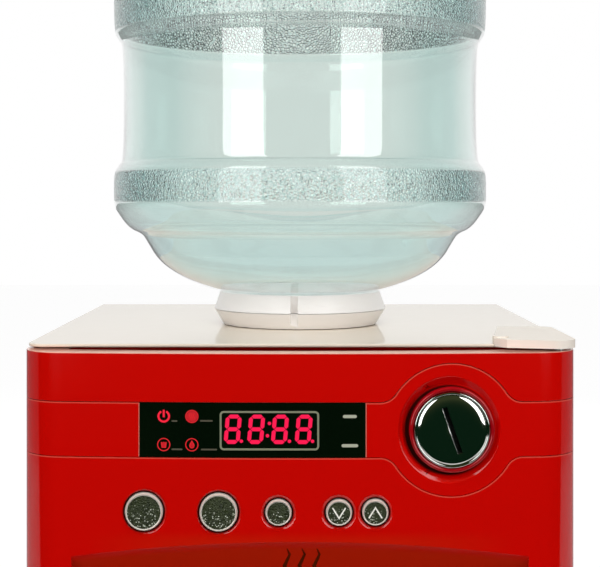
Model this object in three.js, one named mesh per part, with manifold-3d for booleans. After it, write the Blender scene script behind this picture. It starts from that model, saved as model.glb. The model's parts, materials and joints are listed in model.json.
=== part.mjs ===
// A table-top hot drinks vending machine with an upturned water bottle on its top cover.
// Millimetres, +Z up. The origin is on the floor under the middle of the machine, and the door faces -Y.
import * as THREE from "three";
import { mergeVertices } from "three/addons/utils/BufferGeometryUtils.js";
import Module from "manifold-3d";

const wasm = await Module();
wasm.setup();

// Sizes shared by the whole machine
const gap = 0.3; // between pieces that touch
const overrun = 4; // how far a cutter runs past what it cuts
const weld = 0.001; // corners nearer than this are one
const sheet = 1.5; // folded steel panels
const liner = 2; // moulded inner walls

const cabinet = {
  width: 340,
  frontY: -132,
  rearY: 183.5,
  lidTop: 500,
  lidSheet: 2,
  lidFrontY: -156,
  lidCornerRadius: 12,
  lidLip: 12,
  lidLipInset: 3.5,
  footHeight: 14,
  panHeight: 26,
  slotLength: 70,
  slotHeight: 4,
  slotPitch: 12,
  slotCount: 7,
  slotLowZ: 340,
  slotY: 90,
};

const foot = {
  topRadius: 16,
  baseRadius: 13,
  insetX: 36,
  frontInset: 20,
  rearInset: 30,
};

const door = {
  backY: -134,
  frontY: -184,
  frontRadius: 1700,
  cornerRadius: 28,
  bottomZ: 20,
  topZ: 497,
  wall: 3,
};

const belt = {
  midZ: 451,
  height: 33,
  bulgeX: 91.3,
  bulgeRadius: 40,
  filletRadius: 11.5,
};

const scoop = {
  sideMargin: 13,
  endMargin: 27,
  lidY: -156,
  depthY: 19,
  backY: -147,
  depthZ: 12,
  wall: 2.5,
};

const opening = {
  jamb: 32,
  lowZ: 54,
  cornerRadius: 10,
  apexZ: 384.2,
  archSag: 3,
  dropPerDepth: 1.25,
  straightTopZ: 300,
};

const steam = {
  spacing: 9,
  count: 3,
  middleX: 1.2,
  topDrop: 5,
  length: 26,
  width: 2.4,
  swing: 1.6,
  depth: 1,
  waves: 1.5,
  steps: 6,
  endShare: 0.08,
};

const hinge = {
  inset: 10,
  y: -159,
  pinRadius: 3,
  pinLength: 18,
  bossRadius: 6.5,
  bossHeight: 16,
  plate: 1.7,
  plateWidth: 16,
  plateReach: 60,
};

const hingeCover = {
  width: 50,
  frontY: -171,
  backY: -72,
  rise: 3.5,
  skirt: 1.6,
  wall: 1.2,
  cornerRadius: 14,
  bossRadius: 5,
  bossHeight: 1,
};

const display = {
  lowX: -96.4,
  highX: 39.2,
  sheet: 1.2,
  recess: 1.5,
  digitsX: -18.4,
  digitsWidth: 56,
  digitsHeight: 22,
  digitsDepth: 8,
  boardSheet: 1.6,
  boardMargin: 18,
  boardDrop: 9,
  boardRise: 8,
  boardDepth: 21,
  postRadius: 3,
  switchSize: 6,
};

const coin = {
  domeRadius: 22.8,
  domeRise: 3.2,
  collarRadius: 25.8,
  collarRise: 2.2,
  dishRadius: 32.4,
  dishDepth: 1.8,
  slotLength: 29,
  slotWidth: 3,
  slotTilt: 19,
  depth: 12,
  rimWidth: 1.6,
  padMargin: 3,
  padRise: 2,
  dishShare: 0.7,
};

const button = {
  selectOneX: -93.9,
  selectTwoX: -48.9,
  setX: -12.9,
  downX: 23.4,
  upX: 45.2,
  z: 401.7,
  travel: 2,
  dimpleDepth: 1.7,
  largeRadius: 11.15,
  largeDimple: 14.1,
  smallRadius: 7.6,
  smallDimple: 11.3,
  rise: 1.6,
  flange: 1.4,
  flangeSheet: 1.5,
  stemRadius: 3,
  stemLength: 6,
  padRise: 1.2,
  padMargin: 1.5,
};

const buttonRow = [
  { name: "button_select_one", x: button.selectOneX, large: true },
  { name: "button_select_two", x: button.selectTwoX, large: true },
  { name: "button_set", x: button.setX, large: false },
  { name: "button_down", x: button.downX, large: false },
  { name: "button_up", x: button.upX, large: false },
];

const lock = {
  inset: 19,
  z: 200,
  faceRadius: 10,
  faceSheet: 3,
  barrelRadius: 6,
  frontY: -182,
  camY: -129,
  camSheet: 2,
  camLength: 13,
  camHalfWidth: 4.5,
  slotHalfWidth: 8,
  keyWidth: 1.6,
  keyHeight: 8,
  faceShare: 0.8,
};

const frame = {
  rail: 10,
  windowRadius: 16,
};

const bay = {
  floorZ: 58.7,
  ceilingZ: 260,
  backY: -60,
  cornerRadius: 12,
};

const tray = {
  sideGap: 18,
  height: 34,
  frontY: -176,
  backY: -64,
  wall: 2,
  cornerRadius: 8,
  grilleSheet: 2,
  grilleRecess: 3,
  slotWidth: 6,
  slotPitch: 14,
  slotMargin: 12,
  slotCount: 16,
};

const receiver = {
  y: -6,
  footRadius: 55.4,
  seamRadius: 62,
  seamRise: 11.3,
  topRadius: 57.8,
  topRise: 23.6,
  seatRadius: 52,
  cupRadius: 44,
  cupWall: 3,
  cupDepth: 38,
  floorSheet: 3,
  slitX: -4,
  slitWidth: 5,
  slitDepth: 3,
  drainRadius: 7,
  drainCircle: 30,
  drainCount: 4,
  probeRadius: 8.5,
  probeBore: 6,
  probeFlange: 15,
  probeHeight: 38,
};

const tank = {
  radius: 56,
  wall: 2.5,
  flange: 4,
  flangeSheet: 3,
  motorGap: 11.7,
};

const bottle = {
  y: -6,
  wall: 1.6,
  neckRadius: 27.5,
  neckBottomRise: -28,
  seatRise: 23.9,
  height: 465,
  bodyRadius: 134,
  recessRadius: 127,
  neckRise: 11.9,
  ringEdge: 3,
  ringEdgeRise: 5,
};

const cap = {
  wall: 1.5,
  skirt: 20,
  hole: 10,
  end: 2,
};

const shelf = {
  z: 330,
  sheet: 2,
  backY: -22,
  flange: 14,
};

const canister = {
  spacing: 91,
  width: 86,
  frontY: -128,
  backY: -68,
  topZ: 474,
  bottomZ: 334,
  wall: 2,
  troughRadius: 15,
  shoulderZ: 378,
  lidSheet: 2,
  lidOverhang: 1.5,
  spoutRadius: 8,
  spoutBore: 6,
  spoutDrop: 9,
};

const auger = {
  coreRadius: 3,
  flightRadius: 11.5,
  flightSheet: 2,
  turns: 3,
  steps: 7,
  endMargin: 5,
};

const augerMotor = {
  radius: 13,
  length: 32,
  plateSheet: 3,
  plateSize: 30,
};

const trough = {
  topHalfWidth: 104,
  bottomHalfWidth: 13,
  topZ: 322,
  bottomZ: 282,
  frontY: -126,
  backY: -80,
  wall: 2,
  spoutRadius: 9,
  spoutDrop: 8,
  spoutBore: 6,
};

const nozzle = {
  radius: 9,
  tipRadius: 6.5,
  bore: 5,
  tipZ: 236,
};

const whipper = {
  z: 300,
  shaftRadius: 2.5,
  discRadius: 10,
  discSheet: 3,
  bladeCount: 4,
  bladeLength: 8,
  bladeSheet: 2,
  motorRadius: 18,
  motorLength: 46,
};

const boiler = {
  sideGap: 22.5,
  y: 110,
  radius: 50,
  skirtHeight: 20,
  height: 210,
  domeRise: 14,
  fittingRadius: 6,
  skirtShare: 0.8,
};

const pump = {
  x: 10,
  y: 118,
  radius: 22,
  length: 60,
  footWidth: 50,
  footDepth: 36,
  footSheet: 6,
  lift: 30,
};

const supply = {
  sideGap: 13.5,
  y: 112,
  width: 90,
  depth: 110,
  height: 70,
  finCount: 8,
  finHeight: 6,
  finWidth: 3,
};

const inlet = { sideGap: 34.5, z: 70, width: 48, height: 28, depth: 22, flange: 5, flangeSheet: 1.5 };

const rocker = { inletGap: 25, z: 70, width: 22, height: 30, depth: 14, bow: 3 };

const louvre = { width: 150, pitch: 20, count: 7, lowZ: 250, height: 7, rise: 3, slot: 4 };

const coinBox = { lowX: 40, sideGap: 15, frontY: -168, backY: -139, height: 27, wall: 1.5 };

const coinMech = { width: 50, lowZ: 392, highZ: 478, backY: -138, slotWidth: 5 };

const chute = {
  mouthLowX: 104,
  mouthHighX: 118,
  jambGap: 2,
  width: 8,
  frontY: -167,
  backY: -139,
  bendLowZ: 371.5,
  bendHighZ: 378,
  mouthDrop: 4,
  lowZ: 56,
  wall: 1.2,
};

const colours = {
  red: [0.5, 0.012, 0.006, 0.25, 0],
  cream: [0.88, 0.83, 0.74, 0.35, 0],
  white: [0.86, 0.84, 0.81, 0.35, 0],
  black: [0.012, 0.012, 0.012, 0.1, 0],
  chrome: [0.8, 0.8, 0.8, 0.08, 1],
  steel: [0.55, 0.55, 0.55, 0.35, 1],
  rubber: [0.02, 0.02, 0.02, 0.8, 0],
  clear: [0.62, 0.78, 0.8, 0.08, 0],
  blue: [0.04, 0.18, 0.5, 0.4, 0],
  board: [0.02, 0.16, 0.07, 0.5, 0],
  dark: [0.06, 0.06, 0.065, 0.5, 0],
};

// Values that follow from the sizes above
const halfWidth = cabinet.width / 2;
const lidBottom = cabinet.lidTop - cabinet.lidSheet;
const panBottom = cabinet.footHeight + gap;
const panTop = panBottom + cabinet.panHeight;
const panFloor = panBottom + sheet;
const panelTop = lidBottom - gap;
const frontCentreY = door.frontY + door.frontRadius;
const cornerX = halfWidth - door.cornerRadius;
const cornerY = frontCentreY - Math.sqrt((door.frontRadius - door.cornerRadius) ** 2 - cornerX ** 2);
const cornerTurn = Math.atan2(cornerY - frontCentreY, cornerX);
const beltLow = belt.midZ - belt.height / 2;
const beltHigh = belt.midZ + belt.height / 2;
const openingHalf = halfWidth - opening.jamb;
const trayHalf = openingHalf - tray.sideGap;
const hingeX = halfWidth - hinge.inset;
const lockX = lock.inset - halfWidth;
const boilerX = boiler.sideGap + sheet + boiler.radius - halfWidth;
const supplyX = halfWidth - sheet - supply.sideGap - supply.width / 2;
const inletX = inlet.sideGap + sheet + inlet.width / 2 - halfWidth;
const rockerX = inletX + inlet.width / 2 + rocker.inletGap + rocker.width / 2;
const coinBoxHighX = halfWidth - door.wall - coinBox.sideGap;
const chuteLowX = openingHalf + door.wall + chute.jambGap;
const nozzleY = (trough.frontY + trough.backY) / 2;
const augerZ = canister.bottomZ + canister.troughRadius;
const spoutY = canister.frontY + 2 * canister.wall + canister.spoutRadius;

// Where the door's bowed front face is at a place across it
function frontAt(x) {
  return frontCentreY - Math.sqrt(door.frontRadius ** 2 - x ** 2);
}

function finish(name) {
  const [red, green, blue, roughness, metalness] = colours[name];
  const color = new THREE.Color(red, green, blue);
  return new THREE.MeshStandardMaterial({ color, roughness, metalness });
}

// A closed geometry as a solid, with its corners merged
function solid(geometry) {
  const bare = geometry.clone();
  bare.deleteAttribute("normal");
  bare.deleteAttribute("uv");
  const merged = mergeVertices(bare, weld);
  const vertProperties = merged.attributes.position.array;
  const triVerts = new Uint32Array(merged.index.array);
  return new wasm.Manifold(new wasm.Mesh({ numProp: 3, vertProperties, triVerts }));
}

function surface(made) {
  const { vertProperties, triVerts } = made.getMesh();
  const geometry = new THREE.BufferGeometry();
  geometry.setAttribute("position", new THREE.BufferAttribute(new Float32Array(vertProperties), 3));
  geometry.setIndex(new THREE.BufferAttribute(new Uint32Array(triVerts), 1));
  const flat = geometry.toNonIndexed();
  flat.computeVertexNormals();
  return flat;
}

function piece(name, made, colour) {
  const mesh = new THREE.Mesh(surface(made), finish(colour));
  mesh.name = name;
  return mesh;
}

function joined(parts) {
  return parts.reduce((whole, part) => whole.add(part));
}

function cut(whole, cutters) {
  return cutters.reduce((left, cutter) => left.subtract(cutter), whole);
}

function box([lowX, highX], [lowY, highY], [lowZ, highZ]) {
  const geometry = new THREE.BoxGeometry(highX - lowX, highY - lowY, highZ - lowZ);
  geometry.translate((lowX + highX) / 2, (lowY + highY) / 2, (lowZ + highZ) / 2);
  return solid(geometry);
}

function extruded(shape, depth, curveSegments) {
  return new THREE.ExtrudeGeometry(shape, { depth, bevelEnabled: false, curveSegments });
}

// A shape drawn in plan (x, y), standing from one height to another
function prismZ(shape, [lowZ, highZ], curveSegments = 6) {
  const geometry = extruded(shape, highZ - lowZ, curveSegments);
  geometry.translate(0, 0, lowZ);
  return solid(geometry);
}

// A shape drawn from the front (x, z), running from one depth to another
function prismY(shape, [lowY, highY], curveSegments = 6) {
  const geometry = extruded(shape, highY - lowY, curveSegments);
  geometry.rotateX(Math.PI / 2);
  geometry.translate(0, highY, 0);
  return solid(geometry);
}

// A shape drawn from the side (y, z), running across the machine
function prismX(shape, [lowX, highX], curveSegments = 6) {
  const geometry = extruded(shape, highX - lowX, curveSegments);
  const across = new THREE.Vector3(1, 0, 0);
  const back = new THREE.Vector3(0, 1, 0);
  const up = new THREE.Vector3(0, 0, 1);
  geometry.applyMatrix4(new THREE.Matrix4().makeBasis(back, up, across));
  geometry.translate(lowX, 0, 0);
  return solid(geometry);
}

function polygon(corners) {
  return new THREE.Shape(corners.map(([u, v]) => new THREE.Vector2(u, v)));
}

function roundedRect([lowU, highU], [lowV, highV], radius) {
  const shape = new THREE.Shape();
  const quarter = Math.PI / 2;
  shape.absarc(highU - radius, lowV + radius, radius, -quarter, 0);
  shape.absarc(highU - radius, highV - radius, radius, 0, quarter);
  shape.absarc(lowU + radius, highV - radius, radius, quarter, 2 * quarter);
  shape.absarc(lowU + radius, lowV + radius, radius, 2 * quarter, 3 * quarter);
  shape.closePath();
  return shape;
}

// A profile of [radius, height] pairs turned round a vertical axis through (x, y)
function turned(profile, segments, x = 0, y = 0) {
  const points = profile.map(([radius, height]) => new THREE.Vector2(radius, height));
  const closed = [...points, points[0]];
  if (THREE.ShapeUtils.area(points) < 0) closed.reverse();
  const geometry = new THREE.LatheGeometry(closed, segments);
  geometry.rotateX(Math.PI / 2);
  geometry.translate(x, y, 0);
  return solid(geometry);
}

// The same, round an axis that runs from back to front through (x, z), with heights as y
function turnedY(profile, segments, x = 0, z = 0) {
  const points = profile.map(([radius, depth]) => new THREE.Vector2(radius, depth));
  const closed = [...points, points[0]];
  if (THREE.ShapeUtils.area(points) < 0) closed.reverse();
  const geometry = new THREE.LatheGeometry(closed, segments);
  geometry.translate(x, 0, z);
  return solid(geometry);
}

function rod(radius, [lowZ, highZ], segments, x = 0, y = 0) {
  return turned([[0, lowZ], [radius, lowZ], [radius, highZ], [0, highZ]], segments, x, y);
}

function rodY(radius, [lowY, highY], segments, x = 0, z = 0) {
  return turnedY([[0, lowY], [radius, lowY], [radius, highY], [0, highY]], segments, x, z);
}

function rodX(radius, [lowX, highX], segments, y = 0, z = 0) {
  const geometry = new THREE.CylinderGeometry(radius, radius, highX - lowX, segments);
  geometry.rotateZ(Math.PI / 2);
  geometry.translate((lowX + highX) / 2, y, z);
  return solid(geometry);
}

// The door's outline in plan, moved in by a distance: straight sides, round corners and a bowed front
function doorOutline(inset, backY) {
  const side = halfWidth - inset;
  const corner = door.cornerRadius - inset;
  const shape = new THREE.Shape();
  shape.moveTo(side, backY);
  shape.lineTo(-side, backY);
  shape.absarc(-cornerX, cornerY, corner, Math.PI, Math.PI - cornerTurn);
  shape.absarc(0, frontCentreY, door.frontRadius - inset, -Math.PI - cornerTurn, cornerTurn);
  shape.absarc(cornerX, cornerY, corner, cornerTurn, 0);
  shape.closePath();
  return shape;
}

function doorBlock(inset, heights, backY = door.backY) {
  return prismZ(doorOutline(inset, backY), heights, 6);
}

// The belt's outline from the front: a band that swells round the coin entry, grown by a distance
function beltOutline(grow) {
  const half = belt.height / 2 + grow;
  const fillet = belt.filletRadius - grow;
  const rise = half + fillet;
  const reach = Math.sqrt((belt.bulgeRadius + belt.filletRadius) ** 2 - rise ** 2);
  const turn = Math.atan2(rise, reach);
  const radius = belt.bulgeRadius + grow;
  const quarter = Math.PI / 2;
  const { bulgeX, midZ } = belt;
  const shape = new THREE.Shape();
  shape.absarc(bulgeX - reach, midZ - rise, fillet, quarter, turn, true);
  shape.absarc(bulgeX, midZ, radius, Math.PI + turn, 2 * Math.PI - turn);
  shape.absarc(bulgeX + reach, midZ - rise, fillet, Math.PI - turn, quarter, true);
  shape.absarc(bulgeX + reach, midZ + rise, fillet, -quarter, turn - Math.PI, true);
  shape.absarc(bulgeX, midZ, radius, turn, Math.PI - turn);
  shape.absarc(bulgeX - reach, midZ + rise, fillet, -turn, -quarter, true);
  shape.closePath();
  return shape;
}

function beltCutter(grow) {
  const reach = belt.bulgeRadius + belt.filletRadius;
  const bulgeBack = frontAt(belt.bulgeX + reach) + door.wall + gap;
  const wide = [-halfWidth - overrun, halfWidth + overrun];
  const deep = [door.frontY - overrun, door.backY + overrun];
  const band = box(wide, deep, [beltLow - grow, beltHigh + grow]);
  return band.add(prismY(beltOutline(grow), [door.frontY - overrun, bulgeBack], 7));
}

// The crescent pocket behind the door's top edge, which fingers pull on
function scoopCutter(grow, topZ) {
  const half = halfWidth - scoop.sideMargin;
  const end = halfWidth - scoop.endMargin + grow;
  const radius = (half ** 2 + scoop.depthY ** 2) / (2 * scoop.depthY);
  const centreY = scoop.lidY - scoop.depthY + radius;
  const backY = scoop.backY + grow;
  const grown = radius + grow;
  const turn = Math.asin(end / grown);
  const shape = new THREE.Shape();
  shape.absarc(0, centreY, grown, -Math.PI / 2 - turn, -Math.PI / 2 + turn);
  shape.lineTo(end, backY);
  shape.lineTo(-end, backY);
  shape.closePath();
  return prismZ(shape, [door.topZ - scoop.depthZ - grow, topZ], 10);
}

// Where cups go in: upright sides, and a sloping hood above with an arched front edge
function openingCutter(grow) {
  const half = openingHalf + grow;
  const low = opening.lowZ - grow;
  const deep = [door.frontY - overrun, door.backY + overrun];
  const window = roundedRect([-half, half], [low, opening.straightTopZ], opening.cornerRadius + grow);
  const top = opening.apexZ + grow * Math.hypot(1, opening.dropPerDepth);
  const radius = (half ** 2 + opening.archSag ** 2) / (2 * opening.archSag);
  const turn = Math.asin(half / radius);
  const arch = new THREE.Shape();
  const archLow = (opening.lowZ + opening.straightTopZ) / 2;
  arch.moveTo(-half, archLow);
  arch.lineTo(half, archLow);
  arch.absarc(0, top - radius, radius, Math.PI / 2 - turn, Math.PI / 2 + turn);
  arch.closePath();
  const hood = extruded(arch, deep[1] - deep[0], 6);
  hood.rotateX(Math.PI / 2);
  hood.translate(0, deep[1], 0);
  const lean = new THREE.Matrix4();
  lean.makeShear(0, 0, 0, -opening.dropPerDepth, 0, 0);
  hood.translate(0, -door.frontY, 0);
  hood.applyMatrix4(lean);
  hood.translate(0, door.frontY, 0);
  return prismY(window, deep, 3).add(solid(hood));
}

// Three wavy wisps engraved in the hood
function steamCutter(x) {
  const topZ = opening.apexZ - steam.topDrop;
  const left = [];
  const right = [];
  for (let step = 0; step <= steam.steps; step += 1) {
    const share = step / steam.steps;
    const sway = steam.swing * Math.sin(2 * Math.PI * steam.waves * share);
    const half = (steam.width / 2) * Math.sin(Math.PI * (steam.endShare + (1 - 2 * steam.endShare) * share));
    const z = topZ - steam.length * share;
    left.push([x + sway - half, z]);
    right.unshift([x + sway + half, z]);
  }
  return prismY(polygon([...left, ...right]), [door.frontY - overrun, door.backY + overrun]);
}

function buttonSize(spec) {
  const radius = spec.large ? button.largeRadius : button.smallRadius;
  const dimple = spec.large ? button.largeDimple : button.smallDimple;
  return { radius, dimple, faceY: frontAt(spec.x), flange: radius + button.flange };
}

function buttonPad(spec) {
  const { faceY, flange } = buttonSize(spec);
  const depths = [faceY + door.wall / 2, faceY + door.wall + button.padRise];
  return rodY(flange + button.padMargin, depths, 8, spec.x, button.z);
}

function buttonHole(spec) {
  const { radius, dimple, faceY } = buttonSize(spec);
  const floorY = faceY + button.dimpleDepth;
  const hole = radius + gap;
  const profile = [
    [0, faceY - overrun],
    [dimple, faceY - overrun],
    [dimple, faceY - gap],
    [hole + gap, floorY],
    [hole, floorY],
    [hole, faceY + door.wall + button.padRise + overrun],
    [0, faceY + door.wall + button.padRise + overrun],
  ];
  return turnedY(profile, 12, spec.x, button.z);
}

// A round cap with a raised rim, held behind the fascia by its flange
const buttonShares = [[0, 1], [0.5, 0.85], [0.78, 0.45], [0.84, 0.7], [1, 0]];

function pushButton(spec) {
  const { radius, faceY, flange } = buttonSize(spec);
  const flangeY = faceY + door.wall + button.padRise + gap;
  const flangeBack = flangeY + button.flangeSheet;
  const profile = [
    ...buttonShares.map(([outward, up]) => [radius * outward, faceY - button.rise * up]),
    [radius, flangeY],
    [flange, flangeY],
    [flange, flangeBack],
    [button.stemRadius, flangeBack],
    [button.stemRadius, flangeBack + button.stemLength],
    [0, flangeBack + button.stemLength],
  ];
  return piece(spec.name, turnedY(profile, 12, spec.x, button.z), "chrome");
}

const coinFaceY = frontAt(belt.bulgeX);

function coinPad() {
  const depths = [coinFaceY + door.wall / 2, coinFaceY + door.wall + coin.padRise];
  return rodY(coin.collarRadius + coin.padMargin, depths, 12, belt.bulgeX, belt.midZ);
}

function coinDish() {
  const profile = [
    [0, coinFaceY - overrun],
    [coin.dishRadius, coinFaceY - overrun],
    [coin.dishRadius, coinFaceY - gap],
    [(coin.dishRadius + coin.collarRadius) / 2, coinFaceY + coin.dishDepth * coin.dishShare],
    [coin.collarRadius, coinFaceY + coin.dishDepth],
    [0, coinFaceY + coin.dishDepth],
  ];
  return turnedY(profile, 20, belt.bulgeX, belt.midZ);
}

function coinCollar() {
  const inner = coin.domeRadius + gap;
  const tipY = coinFaceY - coin.collarRise;
  const profile = [
    [inner, tipY + coin.collarRise / 3],
    [(inner + coin.collarRadius) / 2, tipY],
    [coin.collarRadius, tipY + coin.collarRise / 2],
    [coin.collarRadius, coinFaceY + door.wall],
    [inner, coinFaceY + door.wall],
  ];
  return turnedY(profile, 20, belt.bulgeX, belt.midZ);
}

// The chromed dome with its slanting coin slot: flat in the middle, steep at its lip
const lensShares = [[0, 1], [0.45, 0.98], [0.7, 0.83], [0.88, 0.47], [1, 0.1]];
const rimShares = [[0.3, 0.4], [1, 0.15]];

function coinEntry() {
  const { domeRadius, domeRise, rimWidth } = coin;
  const lens = domeRadius - rimWidth;
  const backY = coinFaceY + coin.depth;
  const profile = [
    ...lensShares.map(([outward, up]) => [lens * outward, coinFaceY - domeRise * up]),
    ...rimShares.map(([outward, up]) => [lens + rimWidth * outward, coinFaceY - domeRise * up]),
    [domeRadius, backY],
    [0, backY],
  ];
  const dome = turnedY(profile, 20, belt.bulgeX, belt.midZ);
  const slot = new THREE.BoxGeometry(coin.slotWidth, coin.depth + domeRise + 2 * overrun, coin.slotLength);
  slot.rotateY(-THREE.MathUtils.degToRad(coin.slotTilt));
  slot.translate(belt.bulgeX, (coinFaceY - domeRise + backY) / 2, belt.midZ);
  return piece("coin_entry", dome.subtract(solid(slot)), "chrome");
}

function windowRecess(inset, deep, side) {
  const wide = [display.lowX - side, display.highX + side];
  const tall = [beltLow - side, beltHigh + side];
  const block = box(wide, [door.frontY - overrun, door.backY], tall);
  return block.subtract(doorBlock(inset + deep, tall, door.backY + overrun));
}

function digitsBlock(side, depths) {
  const wide = display.digitsWidth / 2 + side;
  const tall = display.digitsHeight / 2 + side;
  return box(
    [display.digitsX - wide, display.digitsX + wide],
    depths,
    [belt.midZ - tall, belt.midZ + tall],
  );
}

function lockHole(radius) {
  return rodY(radius, [door.frontY - overrun, door.backY + overrun], 16, lockX, lock.z);
}

function hingeBoss([lowZ, highZ]) {
  return rod(hinge.bossRadius, [lowZ, highZ], 12, hingeX, hinge.y);
}

function hingeBore([lowZ, highZ]) {
  return rod(hinge.pinRadius + gap, [lowZ, highZ], 10, hingeX, hinge.y);
}

// The whole red front as one shell, before it is parted at the belt
function doorShell() {
  const { bottomZ, topZ, wall } = door;
  const whole = doorBlock(0, [bottomZ, topZ]);
  const hollow = doorBlock(wall, [bottomZ + wall, topZ - wall], door.backY + overrun);
  const skins = joined([openingCutter(wall), scoopCutter(scoop.wall, topZ)]).intersect(whole);
  const bosses = joined([
    hingeBoss([bottomZ + wall / 2, bottomZ + hinge.bossHeight]),
    hingeBoss([topZ - hinge.bossHeight, topZ - wall / 2]),
    ...buttonRow.map(buttonPad),
    coinPad(),
  ]);
  const wisps = [];
  for (let at = 0; at < steam.count; at += 1) {
    wisps.push(steamCutter(steam.middleX + (at - (steam.count - 1) / 2) * steam.spacing));
  }
  const engraving = joined(wisps).intersect(openingCutter(steam.depth));
  return cut(joined([whole.subtract(hollow), skins, bosses]), [
    openingCutter(0),
    scoopCutter(0, topZ + overrun),
    engraving,
    hingeBore([bottomZ - overrun, bottomZ + hinge.bossHeight + overrun]),
    hingeBore([topZ - hinge.bossHeight - overrun, topZ + overrun]),
    ...buttonRow.map(buttonHole),
    lockHole(lock.barrelRadius + gap),
  ]);
}

function doorFascias() {
  const shell = doorShell();
  const wide = [-cabinet.width, cabinet.width];
  const deep = [2 * door.frontY, 0];
  const around = shell.subtract(beltCutter(gap / 2));
  const upper = around.intersect(box(wide, deep, [belt.midZ, door.topZ + overrun]));
  const lower = around.intersect(box(wide, deep, [0, belt.midZ]));
  const digitsHole = digitsBlock(gap, [door.frontY - overrun, frontAt(display.lowX) + door.wall + overrun]);
  const holeDepths = [
    coinFaceY - coin.collarRise - overrun,
    coinFaceY + door.wall + coin.padRise + overrun,
  ];
  const dished = cut(shell.intersect(beltCutter(-gap / 2)), [
    windowRecess(0, display.recess, gap),
    digitsHole,
    coinDish(),
    rodY(coin.domeRadius + gap, holeDepths, 20, belt.bulgeX, belt.midZ),
  ]);
  return [
    piece("door_top_fascia", upper, "red"),
    piece("door_belt", dished.add(coinCollar()), "red"),
    piece("door_lower_fascia", lower, "red"),
  ];
}

function doorBackPlate() {
  const side = halfWidth - door.wall - gap;
  const tall = [door.bottomZ + door.wall + gap, door.topZ - door.wall - gap];
  const plate = box([-side, side], [door.backY - 2 * sheet, door.backY - sheet], tall);
  const cleared = cut(plate, [
    openingCutter(door.wall + gap),
    scoopCutter(scoop.wall + gap, door.topZ),
    lockHole(lock.barrelRadius + gap),
  ]);
  return piece("door_back_plate", cleared, "cream");
}

function displayWindow() {
  const tall = [beltLow + gap / 2, beltHigh - gap / 2];
  const block = box([display.lowX, display.highX], [door.frontY - overrun, door.backY], tall);
  const pane = block.intersect(doorBlock(0, tall));
  const behind = doorBlock(display.sheet, tall, door.backY + overrun);
  return piece("display_window", pane.subtract(behind), "black");
}

const boardY = door.frontY + display.boardDepth;

function digitDisplay() {
  const frontY = frontAt(display.digitsX - display.digitsWidth / 2) + display.sheet + gap;
  return piece("digit_display", digitsBlock(0, [frontY, frontY + display.digitsDepth]), "dark");
}

// One board behind the fascia carries the digits, the lamps and a switch for each button
function panelBoard() {
  const first = buttonRow[0];
  const last = buttonRow[buttonRow.length - 1];
  const wide = [first.x - display.boardMargin - display.postRadius, last.x + display.boardMargin];
  const tall = [button.z - display.boardDrop, beltHigh - display.boardRise];
  const sheetY = [boardY, boardY + display.boardSheet];
  const parts = [box(wide, sheetY, tall)];
  for (const spec of buttonRow) {
    const stemEnd = buttonSize(spec).faceY + door.wall + button.padRise + gap
      + button.flangeSheet + button.stemLength;
    const half = display.switchSize / 2;
    const depths = [stemEnd + button.travel + gap, boardY + display.boardSheet / 2];
    parts.push(box([spec.x - half, spec.x + half], depths, [button.z - half, button.z + half]));
  }
  const inset = display.postRadius;
  for (const x of [wide[0] + inset, wide[1] - inset]) {
    for (const z of [tall[0] + inset, tall[1] - inset]) {
      const depths = [frontAt(x) + door.wall + gap, boardY + display.boardSheet / 2];
      parts.push(rodY(display.postRadius, depths, 8, x, z));
    }
  }
  const digitsBack = frontAt(display.digitsX - display.digitsWidth / 2) + display.sheet + gap
    + display.digitsDepth;
  const socket = digitsBlock(-inset, [digitsBack + gap, boardY + display.boardSheet / 2]);
  return piece("panel_board", joined([...parts, socket]), "board");
}

function coinMechanism() {
  const half = coinMech.width / 2;
  const frontY = coinFaceY + coin.depth + gap;
  const body = box(
    [belt.bulgeX - half, belt.bulgeX + half],
    [frontY, coinMech.backY],
    [coinMech.lowZ, coinMech.highZ],
  );
  const runLow = chute.mouthLowX + chute.wall;
  const path = polygon([
    [belt.bulgeX - coin.slotLength / 2, coinMech.highZ - coinMech.slotWidth],
    [belt.bulgeX - coin.slotLength / 2, belt.midZ - coin.slotLength / 2],
    [runLow, coinMech.lowZ - overrun],
    [chute.mouthHighX - chute.wall - coinMech.slotWidth, coinMech.lowZ - overrun],
    [belt.bulgeX + coin.slotLength / 2, belt.midZ - coin.slotLength / 2],
    [belt.bulgeX + coin.slotLength / 2, coinMech.highZ - coinMech.slotWidth],
  ]);
  const depths = [frontY - overrun, frontY + coinMech.slotWidth];
  return piece("coin_mechanism", body.subtract(prismY(path, depths)), "dark");
}

// The run that takes coins over the hood and down the right-hand pillar
function chuteRun(inset, spill) {
  const highX = chuteLowX + chute.width;
  const mouthZ = coinMech.lowZ - gap;
  return prismY(polygon([
    [chute.mouthLowX + inset, mouthZ + spill],
    [chute.mouthHighX - inset, mouthZ + spill],
    [chute.mouthHighX - inset, mouthZ - inset],
    [highX - inset, chute.bendHighZ - inset],
    [highX - inset, chute.lowZ - spill],
    [chuteLowX + inset, chute.lowZ - spill],
    [chuteLowX + inset, chute.bendLowZ + inset],
    [chute.mouthLowX + inset, mouthZ - chute.mouthDrop + inset],
  ]), [chute.frontY + inset, chute.backY - inset]);
}

function coinChute() {
  return piece("coin_chute", chuteRun(0, 0).subtract(chuteRun(chute.wall, overrun)), "dark");
}

function coinBoxPiece() {
  const { lowX, frontY, backY, height, wall } = coinBox;
  const highX = coinBoxHighX;
  const floorZ = door.bottomZ + door.wall + gap;
  const outer = box([lowX, highX], [frontY, backY], [floorZ, floorZ + height]);
  const inner = box(
    [lowX + wall, highX - wall],
    [frontY + wall, backY - wall],
    [floorZ + wall, floorZ + height + overrun],
  );
  return piece("coin_box", outer.subtract(inner), "steel");
}

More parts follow.
